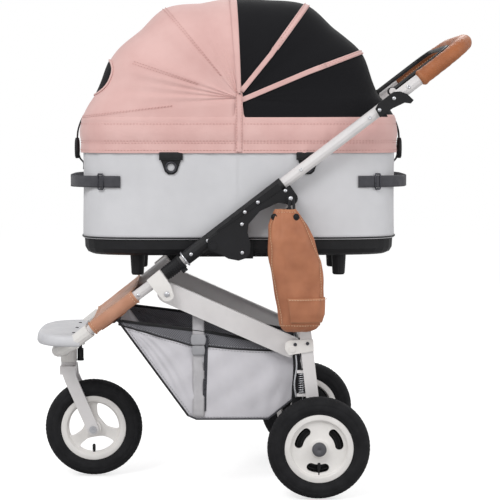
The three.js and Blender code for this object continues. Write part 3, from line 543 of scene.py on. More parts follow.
# Geometry Nodes: copies of one small shape at the points of a mesh, turned by the point's normal
def repeated(name, points, normals, tangents, unit, finish, body, scale=1.0):
    host = bpy.data.meshes.new(name)
    host.from_pydata([tuple(p) for p in points], [], [])
    turns = host.attributes.new("turn", "FLOAT_VECTOR", "POINT")
    for i, (n, t) in enumerate(zip(normals, tangents)):
        n = Vector(n).normalized()
        t = Vector(t)
        t = (t - n * t.dot(n)).normalized()
        turn = Matrix((t, n.cross(t), n)).transposed().to_euler()
        turns.data[i].vector = tuple(turn)
    piece = bpy.data.objects.new(name, host)
    scene.collection.objects.link(piece)
    tree = bpy.data.node_groups.new(name + "Layout", "GeometryNodeTree")
    tree.interface.new_socket("Geometry", in_out="INPUT", socket_type="NodeSocketGeometry")
    size = tree.interface.new_socket("Size", in_out="INPUT", socket_type="NodeSocketFloat")
    size.default_value = 1.0
    tree.interface.new_socket("Geometry", in_out="OUTPUT", socket_type="NodeSocketGeometry")
    given = addNode(tree, "NodeGroupInput")
    result = addNode(tree, "NodeGroupOutput")
    shape = addNode(tree, "GeometryNodeObjectInfo", {"Object": unit})
    turned = addNode(tree, "GeometryNodeInputNamedAttribute", {"data_type": "FLOAT_VECTOR", "Name": "turn"})
    spread = addNode(tree, "GeometryNodeInstanceOnPoints", None, {
        "Points": given.outputs["Geometry"], "Instance": shape.outputs["Geometry"],
        "Rotation": turned.outputs["Attribute"], "Scale": given.outputs["Size"]})
    real = addNode(tree, "GeometryNodeRealizeInstances", None, {"Geometry": spread.outputs["Instances"]})
    painted = addNode(tree, "GeometryNodeSetMaterial", {"Material": finish}, {"Geometry": real.outputs["Geometry"]})
    tree.links.new(painted.outputs["Geometry"], result.inputs["Geometry"])
    layout = piece.modifiers.new("layout", "NODES")
    layout.node_group = tree
    layout[size.identifier] = scale
    applied(piece)
    if not piece.data.materials:
        piece.data.materials.append(finish)
    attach(piece, body)
    return piece


def unitShape(name, profile, sides):
    # a small turned shape about +Z, from (radius, height) pairs
    rows = [[(r * math.cos(j / sides * math.tau), r * math.sin(j / sides * math.tau), z) for j in range(sides)]
        for r, z in profile]
    points = [p for row in rows for p in row]
    faces = []
    for i in range(len(rows) - 1):
        for j in range(sides):
            k = (j + 1) % sides
            faces.append((i * sides + j, i * sides + k, (i + 1) * sides + k, (i + 1) * sides + j))
    faces += [tuple(range(sides))[::-1], tuple((len(rows) - 1) * sides + j for j in range(sides))]
    mesh = bpy.data.meshes.new(name)
    mesh.from_pydata(points, [], faces)
    mesh.shade_smooth()
    mesh.validate()
    return bpy.data.objects.new(name, mesh)  # never linked, so it isn't a piece


def unitStitch(length, thick):
    # one sewn stitch, lying along X and rising in the middle
    rows = []
    for i in range(4):
        x = (i / 3 - 0.5) * length
        r = thick * (0.55 if i in (0, 3) else 1.0)
        z = thick * (0.0 if i in (0, 3) else 0.6)
        rows.append([(x, r * math.cos(a), z + r * 0.7 * math.sin(a)) for a in (0.3, 1.57, 2.84, 4.71)])
    points = [p for row in rows for p in row]
    faces = []
    for i in range(3):
        for j in range(4):
            k = (j + 1) % 4
            faces.append((i * 4 + j, i * 4 + k, (i + 1) * 4 + k, (i + 1) * 4 + j))
    faces += [(3, 2, 1, 0), (12, 13, 14, 15)]
    mesh = bpy.data.meshes.new("stitch")
    mesh.from_pydata(points, [], faces)
    mesh.shade_smooth()
    return mendNormals(bpy.data.objects.new("stitch", mesh))


stitchUnit = unitStitch(0.0042, 0.0006)


# A seam: stitches every few millimetres along a path that lies on a surface
def seam(name, paths, normalOf, finish, body, pitch=0.0062, lift=0.0004, unit=None):
    spots, ups, alongs = [], [], []
    for path in paths:
        pts = [np.array(p, float) for p in path]
        lengths = np.cumsum([0] + [np.linalg.norm(b - a) for a, b in zip(pts, pts[1:])])
        for d in np.arange(pitch * 0.5, lengths[-1], pitch):
            i = min(int(np.searchsorted(lengths, d)) - 1, len(pts) - 2)
            i = max(i, 0)
            f = (d - lengths[i]) / max(lengths[i + 1] - lengths[i], 1e-9)
            p = pts[i] + (pts[i + 1] - pts[i]) * f
            n = np.array(normalOf(p, i), float)
            n /= max(np.linalg.norm(n), 1e-9)
            spots.append(p + n * lift)
            ups.append(n)
            alongs.append(pts[i + 1] - pts[i])
    return repeated(name, spots, ups, alongs, unit or stitchUnit, finish, body)


# The side tube's line: s along it, v square to it, in millimetres
line = {"x": -96.6, "z": 540.5, "tilt": math.radians(37.5), "y": 186.0}


def onLine(s, v, y):
    c, t = math.cos(line["tilt"]), math.sin(line["tilt"])
    return Vector(((line["x"] + s * c - v * t) / 1000, y / 1000, (line["z"] + s * t + v * c) / 1000))


# Canopy

canopy = {
    "centre": (-0.0327, 0.838), "halfWidth": 0.165, "rim": 0.7903, "least": 0.009, "wall": 0.0012,
    "front": [(93.4, 0.2176), (97, 0.2186), (112, 0.231), (121, 0.2425), (129.7, 0.2535), (145, 0.2665),
        (153, 0.277), (161.5, 0.288),
              (170, 0.302), (177.8, 0.3145), (187.1, 0.3416)],
    "rear": [(93.2, 0.2176), (89, 0.2186), (73, 0.232), (62, 0.2425), (53.9, 0.2515), (37, 0.264), (28, 0.2735),
        (20.7, 0.284),
             (10, 0.297), (1.7, 0.307), (-7.1, 0.3416)],
}


def archPoint(angle, reach, t, out=0.0):
    low = min(1, abs(angle - 93.3) / 93.8)
    power = 2.4 + 2.6 * low ** 1.5
    a = t * math.pi / 2
    far = max((reach + out) * abs(math.cos(a)) ** (2 / power), canopy["least"])
    y = math.copysign((canopy["halfWidth"] + out) * abs(math.sin(a)) ** (2 / power), t)
    turn = math.radians(angle)
    return np.array((canopy["centre"][0] + math.cos(turn) * far, y, canopy["centre"][1] + math.sin(turn) * far))


def reachAt(side, angle):
    stations = canopy[side]
    angles = [a for a, _ in stations]
    reaches = [r for _, r in stations]
    if angles[0] > angles[-1]:
        angles, reaches = angles[::-1], reaches[::-1]
    return float(np.interp(angle, angles, reaches))


def sagAt(side, angle, t):
    # the cloth dips a little between one bow and the next, and ripples where it gathers at the hub
    bows = [93.4, 129.7, 161.5, 187.1] if side == "front" else [93.2, 53.9, 20.7, -7.1]
    bows = sorted(bows)
    for low, high in zip(bows, bows[1:]):
        if low <= angle <= high:
            f = (angle - low) / (high - low)
            dip = 0.0075 * math.sin(math.pi * f) ** 2 * math.cos(t * math.pi / 2) ** 0.5
            return dip
    return 0.0


def ripple(angle, t):
    near = max(0, (abs(t) - 0.45) / 0.55)
    return (0.0016 if angle > 93.3 else 0.0007) * near * math.sin(angle * 0.55 + 4
        * math.sin(angle * 0.11)) * math.cos(2.5 * t + angle * 0.05)


def canopyPoint(side, angle, t, out=0.0):
    reach = reachAt(side, angle)
    return archPoint(angle, reach, t, out - sagAt(side, angle, t) + ripple(angle, t))


def canopySheet(side, finish, first, last, rows=64, cols=96):
    angles = np.linspace(first, last, rows)
    grid = []
    for angle in angles:
        grid.append([canopyPoint(side, angle, math.sin(u * math.pi / 2)) for u in np.linspace(-1, 1, cols)])
    low = grid[-1]
    for f in (0.25, 0.5, 0.75, 1.0):
        grid.append([np.array((p[0], p[1], p[2] + (canopy["rim"] - 0.004 - p[2]) * f)) for p in low])
    return outward(gridSheet(side + "Canopy", grid, finish), (canopy["centre"][0], 0, 0.8))


def canopyNormal(p, _i=0):
    return (p[0] - canopy["centre"][0], p[1] * 1.2, p[2] - 0.80)


frontCanopy = canopySheet("front", pinkCloth, 94.6, 187.1)
rearCanopy = canopySheet("rear", netBlack, 91.8, -7.1)


def canopyStrip(name, side, angle, width, finish, out=0.0012, span=0.985, drop=False, bend=0.0):
    # a flat tape sewn over a bow, from one side of the hub to the other
    grid = []
    for k in (-1.0, -0.86, -0.4, 0.0, 0.4, 0.86, 1.0):
        row = []
        for u in np.linspace(-1, 1, 80):
            t = span * math.sin(u * math.pi / 2)
            reach = max(reachAt(side, angle) * abs(math.cos(t * math.pi / 2)) ** 0.6, 0.03)
            here = angle + bend * (1 - abs(t)) + math.degrees(k * width / 2 / reach)
            low = 93.3 if side == "front" else -7.0
            here = min(max(here, -7.0), 187.0)
            lift = out * (0.35 if abs(k) == 1 else 1.0) + 0.0016 * max(0, abs(t) - 0.5)
            use = "front" if here > 93.3 else "rear"
            row.append(canopyPoint(use, here, t, lift))
        grid.append(row)
    return thicken(outward(gridSheet(name, grid, finish), (canopy["centre"][0], 0, 0.8)), 0.0014)


# The rib edge ends, the closing strip over the top, and the two ribs of the net half
ribs = {"second": 53.9, "third": 20.7, "width": 0.0135, "narrow": 0.010}
ribSecond = canopyStrip("ribSecond", "rear", ribs["second"], ribs["width"], pinkCloth, 0.0022, 0.78)
ribThird = canopyStrip("ribThird", "rear", ribs["third"], ribs["narrow"], pinkCloth, 0.0026, 0.78)
crownStrip = canopyStrip("crownStrip", "front", 93.2, 0.016, pinkCloth, 0.0026)


def ribEnd(angle, side, target, width):
    # from where the rib leaves the crown, straight to the strip over the hub
    start = [canopyPoint("rear", angle, side * t, 0.0028) for t in (0.70, 0.76, 0.82)]
    last = np.array((target[0], side * 0.1672, target[1]))
    path = start[:2] + [start[2] + (last - start[2]) * f for f in np.linspace(0, 1, 12)]
    path = [np.array((p[0], side * max(abs(p[1]), 0.1655 if i > 4 else 0), p[2])) for i, p in enumerate(path)]
    across = lambda i, p: Vector(path[min(i + 1, len(path) - 1)] - path[max(i - 1, 0)]).cross(Vector((0, 1, 0)))
    return strap("ribEnd", path, width, 0.0013, across, pinkCloth)


ribEnds = joined("ribEnds", [ribEnd(angle, side, target, width) for side in (-1, 1)
                             for angle, target, width in ((ribs["second"], (-0.0285, 0.8525), ribs["width"] * 0.8),
                                 (ribs["third"], (-0.0275, 0.834), ribs["narrow"] * 1.1))])
thicken(frontCanopy, canopy["wall"])
thicken(rearCanopy, 0.0008)


# The net window low on the front, cut as an ellipse in the cloth, with a bound edge
window = {"angle": 171.0, "high": 7.6, "reach": 0.36, "power": 2.6}


def windowPoint(f, a, out=0.0):
    c, s = math.cos(a), math.sin(a)
    e = 2 / window["power"]
    angle = window["angle"] + window["high"] * f * math.copysign(abs(s) ** e, s)
    t = window["reach"] * f * math.copysign(abs(c) ** e, c)
    return canopyPoint("front", angle, t, out)


windowRows = [[windowPoint(f, j / 96 * math.tau, 0.0016) for j in range(96)] for f in np.linspace(0.02, 1, 22)]
windowNet = outward(gridSheet("windowNet", windowRows, netBlack, closed=True), (canopy["centre"][0], 0, 0.8))
windowBinding = tubeAlong("windowBinding", [windowPoint(1.0, j / 120 * math.tau, 0.0016) for j in range(120)],
    0.0022, pinkCloth, 8, True)
thicken(windowNet, 0.0006)

frontSeams = []
for angle in (129.7, 161.5, 187.1):
    for shift in (-0.7, 0.7):
        here = angle + shift
        path = [canopyPoint("front", min(here, 187.0), 0.93 * math.sin(u * math.pi / 2), 0.0007)
            for u in np.linspace(-1, 1, 120)]
        if angle == 161.5:
            path = None
            for sign in (-1, 1):
                side = [canopyPoint("front", here, sign * t, 0.0007) for t in np.linspace(0.53, 0.94, 60)]
                frontSeams.append(side)
        if path:
            frontSeams.append(path)
canopyStitches = seam("canopyStitches", frontSeams, canopyNormal, threadPink, "cot", 0.0068)
rearSeams = []
for angle in (ribs["second"], ribs["third"]):
    for sign in (-1, 1):
        reach = reachAt("rear", angle)
        here = angle + sign * math.degrees((ribs["width"
            if angle == ribs["second"] else "narrow"] / 2 - 0.002) / reach)
        rearSeams.append([canopyPoint("rear", here, 0.76 * math.sin(u * math.pi / 2), 0.0026)
            for u in np.linspace(-1, 1, 120)])
ribStitches = seam("ribStitches", rearSeams, canopyNormal, threadPink, "cot", 0.0068)

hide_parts("front_hood")
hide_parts("rear_hood")
foldAway = {
    "front_hood_fold": [frontCanopy, windowNet, windowBinding, canopyStitches],
    "rear_hood_fold": [rearCanopy, ribSecond, ribThird, ribEnds, crownStrip, ribStitches],
}
for joint, pieces in foldAway.items():
    for piece in pieces:
        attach(piece, "cot")
        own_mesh(piece)
print("stage: canopy")


def declareSheet(piece):
    # works out a flat area, half the finished cloth's own surface, and does nothing more with it; the flat
    # area is half the finished cloth's own surface, so it can't show stretch; the sides are nominal
    shape = bmesh.new()
    shape.from_mesh(piece.data)
    flatArea = sum(f.calc_area() for f in shape.faces) / 2
    shape.free()


declareSheet(frontCanopy)
declareSheet(rearCanopy)


# Cot: wall, skirt, mat and the straps on it

cot = {"x": -0.0327, "long": 0.339, "wide": 0.165, "power": 5, "wallLow": 0.5393, "wallHigh": 0.7893, "hem": 0.7225,
    "seams": (0.746, 0.786)}


def cotOval(out, z, count=240):
    # evenly spaced points round the cot, from the middle of the left side
    dense = []
    for i in range(2400):
        a = i / 2400 * math.tau - math.pi / 2
        c, s = math.cos(a), math.sin(a)
        e = 2 / cot["power"]
        dense.append(((cot["long"] + out) * math.copysign(abs(c) ** e, c),
            (cot["wide"] + out) * math.copysign(abs(s) ** e, s)))
    dense = np.array(dense + dense[:1])
    run = np.concatenate([[0], np.cumsum(np.linalg.norm(np.diff(dense, axis=0), axis=1))])
    at = np.linspace(0, run[-1], count + 1)[:-1]
    return [np.array((cot["x"] + np.interp(d, run, dense[:, 0]), np.interp(d, run, dense[:, 1]), z)) for d in at]


def cotRing(outOf, z, count=240):
    # out may change round the ring; the normal is taken from the ring itself
    base = cotOval(0, z, count)
    rows = []
    for i, p in enumerate(base):
        along = base[(i + 1) % count] - base[i - 1]
        normal = np.array((along[1], -along[0], 0))
        normal /= max(np.linalg.norm(normal), 1e-9)
        rows.append(p + normal * outOf(i / count * math.tau, p))
    return rows


def wallOut(z):
    f = (z - cot["wallLow"]) / (cot["wallHigh"] - cot["wallLow"])

    def out(a, p):
        slack = math.sin(math.pi * f)
        return -0.0012 * slack * (1 + math.sin(5 * a + 2.2 * f) * 0.5 + math.sin(11 * a - 5 * f) * 0.35) - 0.0002
    return out


wallRows = [cotRing(wallOut(z), z) for z in np.linspace(cot["wallLow"] + 0.0004, cot["wallHigh"] - 0.0004, 26)]
cotWall = thicken(outward(gridSheet("cotWall", wallRows, wallCloth, closed=True), (cot["x"], 0, 0.66)), 0.0035)
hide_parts("cot_wall")
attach(cotWall, "cot")

wallPiping = tubeAlong("wallPiping", cotRing(lambda a, p: 0.0004, cot["wallLow"] + 0.0035), 0.0017, webBlack, 8,
    True)
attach(wallPiping, "cot")

skirtLevels = [0.7225, 0.7235, 0.727, 0.734, 0.740, 0.7445, 0.746, 0.7475, 0.752, 0.758, 0.764, 0.770, 0.776, 0.782,
    0.7845, 0.786, 0.7875, 0.791, 0.796, 0.8, 0.8035]


def skirtOut(z):
    def out(a, p):
        seams = min(1, min(abs(z - s) for s in cot["seams"]) / 0.012)
        hem = 1 - min(1, abs(z - cot["hem"]) / 0.02)
        gather = math.sin(46 * a + 1.7 * math.sin(9 * a)) * 0.5 + math.sin(29 * a + 2.1 + z
            * 60) * 0.35 + math.sin(83 * a) * 0.25
        top = max(0, (z - 0.793) / 0.0105)
        gather *= 1 - min(1, max(0, (z - 0.787) / 0.006))
        puff = 0.0026 * math.sin(math.pi * min(1,
            max(0, (z - cot["seams"][0]) / (cot["seams"][1] - cot["seams"][0]))))
        return 0.0022 + 0.0011 * gather * (0.35 + 0.65 * seams) + 0.001 * hem + puff - 0.0042 * top
    return out


hubRise = {"x": -0.0335, "reach": 0.0085}
skirtRows = []
for z in skirtLevels:
    ring = cotRing(skirtOut(z), z, 480)
    top = max(0, (z - 0.786) / 0.0175)
    for p in ring:
        # rises beside the hub on both sides, to close over the bow ends
        if abs(p[1]) > 0.13:
            p[2] += top * 0.044 * math.exp(-((p[0] - hubRise["x"]) / hubRise["reach"]) ** 4)
    skirtRows.append(ring)
skirt = thicken(outward(gridSheet("cotSkirt", skirtRows, pinkCloth, closed=True), (cot["x"], 0, 0.76)), 0.0015)
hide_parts("cot_band")
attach(skirt, "cot")
declareSheet(skirt)
ringOut = lambda p, i: (p[0] - cot["x"], p[1] * 4, 0) if abs(p[1]) > 0.15 else (p[0] - cot["x"], p[1] * 0.3, 0)
skirtPaths = []
for z in (cot["seams"][0] - 0.0022, cot["seams"][0] + 0.0022, cot["seams"][1] - 0.0022, cot["hem"] + 0.006):
    skirtPaths.append(cotRing(skirtOut(z), z, 480))
seam("skirtStitches", skirtPaths, ringOut, threadPink, "cot", 0.007, 0.0003)

# The hub cover: a pink strip on each side that hides where the bows meet, folded under at its hem
hub = {"x": -0.0335, "half": 0.0072, "low": 0.7245, "high": 0.864, "off": 0.0006}
hubStrips = []
for side in (-1, 1):
    rows = []
    for z in np.linspace(hub["low"], hub["high"], 44):
        ring = cotRing(skirtOut(min(z, 0.7935)), min(z, 0.7935), 480)
        face = max(p[1] for p in ring) + 0.0012
        up = max(0, z - 0.795) / (hub["high"] - 0.795)
        lean = 0.006 * max(0, up) ** 1.6
        pinch = math.exp(-((z - 0.746) / 0.004) ** 2) + math.exp(-((z - 0.786) / 0.004) ** 2)
        row = []
        for u in np.linspace(-1, 1, 17):
            fold = 0.0007 * math.cos(u * 5.2 + z * 40) * (1 - pinch * 0.6)
            edge = 0.0012 * abs(u) ** 6
            row.append((hub["x"] + u * (hub["half"] + 0.0014 * up), side * (face + hub["off"] + fold - edge - lean),
                z))
        rows.append(row)
    word = "left" if side < 0 else "right"
    strip = thicken(outward(gridSheet(word + "HubStrip", rows, pinkCloth), (hub["x"], 0, 0.79)), 0.0013)
    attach(strip, "cot")
    edges = [[(hub["x"] + e * (hub["half"] - 0.0018), side * (max(abs(p[1]) for p in rows[k]) + 0.0003),
        rows[k][0][2]) for k in range(2, 42)] for e in (-1, 1)]
    hubStrips.append(strip)
    seam(word + "HubStitches", edges, lambda p, i: (0, p[1], 0), threadPink, "cot", 0.0062, 0.0002)


def simulatePad(piece, voxel, cap, pressure=4.0):
    # swells the pad with cloth under pressure, holds back far movers, and keeps the result
    remesh = piece.modifiers.new("even", "REMESH")
    remesh.mode = "VOXEL"
    remesh.voxel_size = voxel
    applied(piece)
    start = np.array([v.co for v in piece.data.vertices])
    cloth = piece.modifiers.new("swell", "CLOTH")
    cloth.settings.use_pressure = True
    cloth.settings.uniform_pressure_force = pressure
    cloth.settings.effector_weights.gravity = 0
    cloth.settings.quality = 5
    cloth.settings.mass = 0.2
    for frameNow in range(1, 21):
        scene.frame_set(frameNow)
    applied(piece)
    scene.frame_set(1)
    end = np.array([v.co for v in piece.data.vertices])
    move = end - start
    far = np.linalg.norm(move, axis=1)
    scale = np.where(far > cap, cap / np.maximum(far, 1e-9), 1.0)
    final = start + move * scale[:, None]
    piece.data.vertices.foreach_set("co", final.reshape(-1))
    piece.data.update()
    for f in piece.data.polygons:
        f.use_smooth = True
    return piece


mat = {"inset": 0.024, "low": 0.5155, "high": 0.545, "cap": 0.006, "buttons": [(-0.2, 0), (-0.0327, 0), (0.135, 0)]}
matRows = [cotOval(-mat["inset"] - 0.014, mat["low"] + 0.001, 96),
    cotOval(-mat["inset"] - 0.003, mat["low"] + 0.006, 96),
           cotOval(-mat["inset"], (mat["low"] + mat["high"]) / 2, 96),
               cotOval(-mat["inset"] - 0.003, mat["high"] - 0.006, 96),
           cotOval(-mat["inset"] - 0.014, mat["high"], 96)]
matFaces = []
matPoints = [p for row in matRows for p in row]
for i in range(4):
    for j in range(96):
        k = (j + 1) % 96
        matFaces.append((i * 96 + j, i * 96 + k, (i + 1) * 96 + k, (i + 1) * 96 + j))
matFaces += [tuple(range(96))[::-1], tuple(4 * 96 + j for j in range(96))]
cotMat = mendNormals(meshObject("cotMat", matPoints, matFaces, fleece))
simulatePad(cotMat, 0.0065, mat["cap"])
for v in cotMat.data.vertices:
    # three tufts pulled into the top, and the underside kept on the tray
    if v.co.z > 0.53:
        for x, y in mat["buttons"]:
            v.co.z -= 0.007 * math.exp(-((v.co.x - x) ** 2 + (v.co.y - y) ** 2) / 0.0011)
    v.co.z = min(max(v.co.z, 0.5125), 0.5488)
cotMat.data.update()
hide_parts("cot_mattress")
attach(cotMat, "cot")
matPiping = tubeAlong("matPiping", cotOval(-mat["inset"] + 0.0028, 0.5305, 200), 0.0024, webGrey, 8, True)
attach(matPiping, "cot")
print("stage: cot wall, skirt and mat")


# Carry loops at both ends, each with a metal slide
def endLoop(name, end):
    path = []
    for i in range(49):
        a = (-1 + i / 24) * math.radians(62)
        off = 0.024 * max(0, 1 - (abs(a) / math.radians(40)) ** 2) + 0.0016
        c, s = math.cos(a), math.sin(a)
        path.append((cot["x"] + end * (cot["long"] + off) * c ** 0.4,
            math.copysign((cot["wide"] + min(off, 0.0016)) * abs(s) ** 0.4, s), 0.662))
    loop = strap(name, path, 0.025, 0.002, (0, 0, 1), webGrey)
    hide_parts(("front" if end < 0 else "rear") + "_cot_handle")
    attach(loop, "cot")
    return path


for name, end in (("frontLoop", -1), ("rearLoop", 1)):
    loopPath = endLoop(name, end)
    for k, spot in enumerate((6, 42)):
        p = Vector(loopPath[spot])
        along = (Vector(loopPath[spot + 1]) - Vector(loopPath[spot - 1])).normalized()
        slide = []
        for a, z in ((-0.006, -0.016), (0.006, -0.016), (0.006, 0.016), (-0.006, 0.016)):
            slide.append(p + along * a + Vector((0, 0, z)))
        ring = tubeAlong(f"{name}Slide{k}", [slide[i % 4].lerp(slide[(i + 1) % 4], f) for i in range(4)
            for f in (0.08, 0.5, 0.92)], 0.0018, darkSteel, 8, True)
        for v in ring.data.vertices:
            n = Vector((along.y, -along.x, 0)) * (1 if along.y * end > 0 else -1)
            v.co += n * 0.0016
        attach(ring, "cot")

# The straps that hold the canopy down at each end, with a side-release buckle
hold = {"front": (-0.3745, -1), "rear": (0.3095, 1), "width": 0.022}
for key in ("front", "rear"):
    x, end = hold[key]
    path = smoothPath([(x + end * 0.001, 0, 0.797), (x + end * 0.0065, 0, 0.785), (x + end * 0.012, 0, 0.765),
        (x + end * 0.013, 0, 0.735), (x + end * 0.008, 0, 0.71), (x - end * 0.0005, 0, 0.698),
        (x - end * 0.0005, 0, 0.684)], 30)
    band = strap(key + "HoldStrap", path, hold["width"], 0.0022, (0, 1, 0), webBlack)
    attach(band, "cot")
    body = []
    for z, half, thick in ((0.708, 0.010, 0.0035), (0.713, 0.0145, 0.005), (0.727, 0.0155, 0.0055),
        (0.735, 0.0135, 0.0055), (0.746, 0.0145, 0.005), (0.753, 0.012, 0.0035)):
        cx = x + end * 0.0135
        body.append([(cx + thick * math.copysign(abs(math.cos(a)) ** 0.6, math.cos(a)),
            half * math.copysign(abs(math.sin(a)) ** 0.6, math.sin(a)), z)
            for a in [j / 20 * math.tau for j in range(20)]])
    pts = [p for r in body for p in r]
    fcs = [(i * 20 + j, i * 20 + (j + 1) % 20, (i + 1) * 20 + (j + 1) % 20, (i + 1) * 20 + j) for i in range(5)
        for j in range(20)]
    fcs += [tuple(range(20))[::-1], tuple(100 + j for j in range(20))]
    buckle = mendNormals(meshObject(key + "HoldBuckle", pts, fcs, nylonBlack))
    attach(buckle, "cot")

# Webbing that carries each ring tab, sewn to the wall above it
for side in (-1, 1):
    for key, x in (("Front", -0.177), ("Rear", 0.112)):
        y = side * 0.1676
        path = [(x, y, 0.7245), (x, y + side * 0.0012, 0.721), (x, y + side * 0.0018, 0.715),
            (x, y + side * 0.0016, 0.708)]
        tape = strap(("left" if side < 0 else "right") + key + "TabTape", path, 0.050, 0.0014, (1, 0, 0), webBlack)
        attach(tape, "cot")
        loop = [(x + 0.0105 * math.cos(a), side * 0.1682, 0.693 + 0.0105 * math.sin(a))
            for a in [j / 28 * math.tau for j in range(28)]]
        eye = tubeAlong(("left" if side < 0 else "right") + key + "TabRing", loop, 0.0018, darkSteel, 8, True)
        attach(eye, "cot")
print("stage: cot straps")


# Basket

basket = {"half": 0.1475, "low": [(-0.2915, 0.3655), (-0.143, 0.1605), (-0.125, 0.1525), (0.028, 0.1525),
    (0.081, 0.1955), (0.100, 0.303)],
          "top": [(-0.2915, 0.3655), (-0.103, 0.3415), (0.100, 0.303)],
          "net": [(-0.2915, 0.3575), (-0.138, 0.313), (-0.010, 0.302), (0.060, 0.300), (0.100, 0.3025)],
              "bulge": 0.005}


def bagHeight(kind, x):
    pts = basket[kind]
    return float(np.interp(x, [p[0] for p in pts], [p[1] for p in pts]))


def bagY(x, z, side):
    low, top = bagHeight("low", x), bagHeight("top", x)
    f = min(1, max(0, (z - low) / max(top - low, 1e-4)))
    u = min(1, max(0, (x + 0.2915) / 0.3915))
    swell = math.sin(math.pi * u) ** 0.7 * math.sin(math.pi * (f * 0.92 + 0.04)) ** 0.8
    ease = min(1, 4 * f, 6 * (1 - f)) * min(1, 8 * u, 8 * (1 - u))
    crease = 0.0016 * math.sin(95 * x + 42 * z) + 0.0013 * math.sin(60 * x - 90 * z + 1.3) + 0.0011 * math.sin(150
        * x * (1.3 - f) + 4)
    strapPull = math.exp(-((x + 0.1205) / 0.016) ** 2)
    return side * (basket["half"] + basket["bulge"] * swell + (crease - 0.0028 * strapPull) * ease)


def bagSide(name, side, low, top, finish):
    rows = []
    columns = np.concatenate([np.linspace(-0.2913, -0.23, 10)[:-1], np.linspace(-0.23, 0.0998, 86)])
    for w in np.linspace(0, 1, 30):
        rows.append([(x, bagY(x, bagHeight(low, x) + (bagHeight(top, x) - bagHeight(low, x)) * w, side),
            bagHeight(low, x) + (bagHeight(top, x) - bagHeight(low, x)) * w) for x in columns])
    return thicken(outward(gridSheet(name, rows, finish), (-0.09, 0, 0.26)), 0.0012)


bagPieces = []
for side in (-1, 1):
    word = "left" if side < 0 else "right"
    bagPieces.append(bagSide(word + "BagSide", side, "low", "net", bagCloth if side < 0 else netGrey))
    bagPieces.append(bagSide(word + "BagNet", side, "net", "top", netGrey))
bagPath = []
for a, b in zip(basket["low"], basket["low"][1:]):
    n = max(2, int(math.hypot(b[0] - a[0], b[1] - a[1]) / 0.006))
    bagPath += [(a[0] + (b[0] - a[0]) * i / n, a[1] + (b[1] - a[1]) * i / n) for i in range(n)]
bagPath.append(basket["low"][-1])
bagFloor = []
for k, (x, z) in enumerate(bagPath):
    row = []
    for w in np.linspace(-1, 1, 40):
        y = abs(bagY(x, z + 0.0003, 1)) * w
        dip = (1 - w * w) * (0.0035 * math.sin(math.pi * k / (len(bagPath) - 1)) + 0.0011
            * math.sin(70 * y + k * 0.31) + 0.0009 * math.sin(k * 0.7 - 45 * y))
        back = bagPath[min(k + 1, len(bagPath) - 1)]
        ahead = bagPath[max(k - 1, 0)]
        nx, nz = (back[1] - ahead[1]), -(back[0] - ahead[0])
        size = math.hypot(nx, nz) or 1
        row.append((x + nx / size * dip * 0.8, y, z + nz / size * dip * 0.8))
    bagFloor.append(row)
bagPieces.append(thicken(outward(gridSheet("bagFloor", bagFloor, bagCloth), (-0.09, 0, 0.26)), 0.0012))
bag = joined("basketBag", bagPieces)
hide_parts("basket")
edging = []
for side in (-1, 1):
    edging.append(tubeAlong("lowPiping", [(x, bagY(x, z, side) + side * 0.0008, z) for x, z in bagPath], 0.0019,
        webGrey, 8))
    xs = np.linspace(-0.2913, 0.0998, 90)
    edging.append(tubeAlong("topBinding", [(x, bagY(x, bagHeight("top", x), side), bagHeight("top", x))
        for x in xs], 0.0034, webBlack, 8))
    edging.append(tubeAlong("netSeam", [(x, bagY(x, bagHeight("net", x), side) + side * 0.0006,
        bagHeight("net", x)) for x in xs], 0.0017, webBlack, 8))
    front = [(x, bagY(x, z, side) + side * 0.0016, z) for x, z in bagPath if x < -0.142]
    edging.append(tubeAlong("frontPiping", front, 0.0023, webBlack, 8))
edging.append(tubeAlong("frontBinding", [(-0.2915, y, 0.3655)
    for y in np.linspace(-basket["half"], basket["half"], 30)], 0.0034, webBlack, 8))
edging.append(tubeAlong("rearBinding", [(0.100, y, 0.303) for y in np.linspace(-basket["half"], basket["half"],
    30)], 0.0034, webBlack, 8))
bagEdging = joined("basketEdging", edging)

straps = []
for side in (-1, 1):
    path = [(-0.1205, bagY(-0.1205, z, side) + side * 0.0022, z) for z in np.linspace(0.158, 0.338, 26)]
    path += [(-0.1205, side * (basket["half"] + 0.003), z) for z in (0.346, 0.356, 0.366, 0.378)]
    straps.append(strap("sideStrap", path, 0.025, 0.0018, (1, 0, 0), webPale))
    for z0, z1, wide in ((0.292, 0.312, 0.0145), (0.314, 0.336, 0.0165)):
        rows = []
        for z in np.linspace(z0, z1, 7):
            f = (z - z0) / (z1 - z0)
            bow = 0.86 + 0.14 * math.sin(math.pi * f)
            cy = bagY(-0.1205, z, side) + side * 0.0042
            rows.append([(-0.1205 + wide * bow * math.copysign(abs(math.cos(a)) ** 0.5, math.cos(a)),
                cy + 0.0038 * math.copysign(abs(math.sin(a)) ** 0.7, math.sin(a)), z)
                for a in [j / 20 * math.tau for j in range(20)]])
        pts = [p for r in rows for p in r]
        fcs = [(i * 20 + j, i * 20 + (j + 1) % 20, (i + 1) * 20 + (j + 1) % 20, (i + 1) * 20 + j) for i in range(6)
            for j in range(20)]
        fcs += [tuple(range(20))[::-1], tuple(120 + j for j in range(20))]
        straps.append(mendNormals(meshObject("sideBuckle", pts, fcs, clipNylon)))
bagStraps = joined("basketStraps", straps)

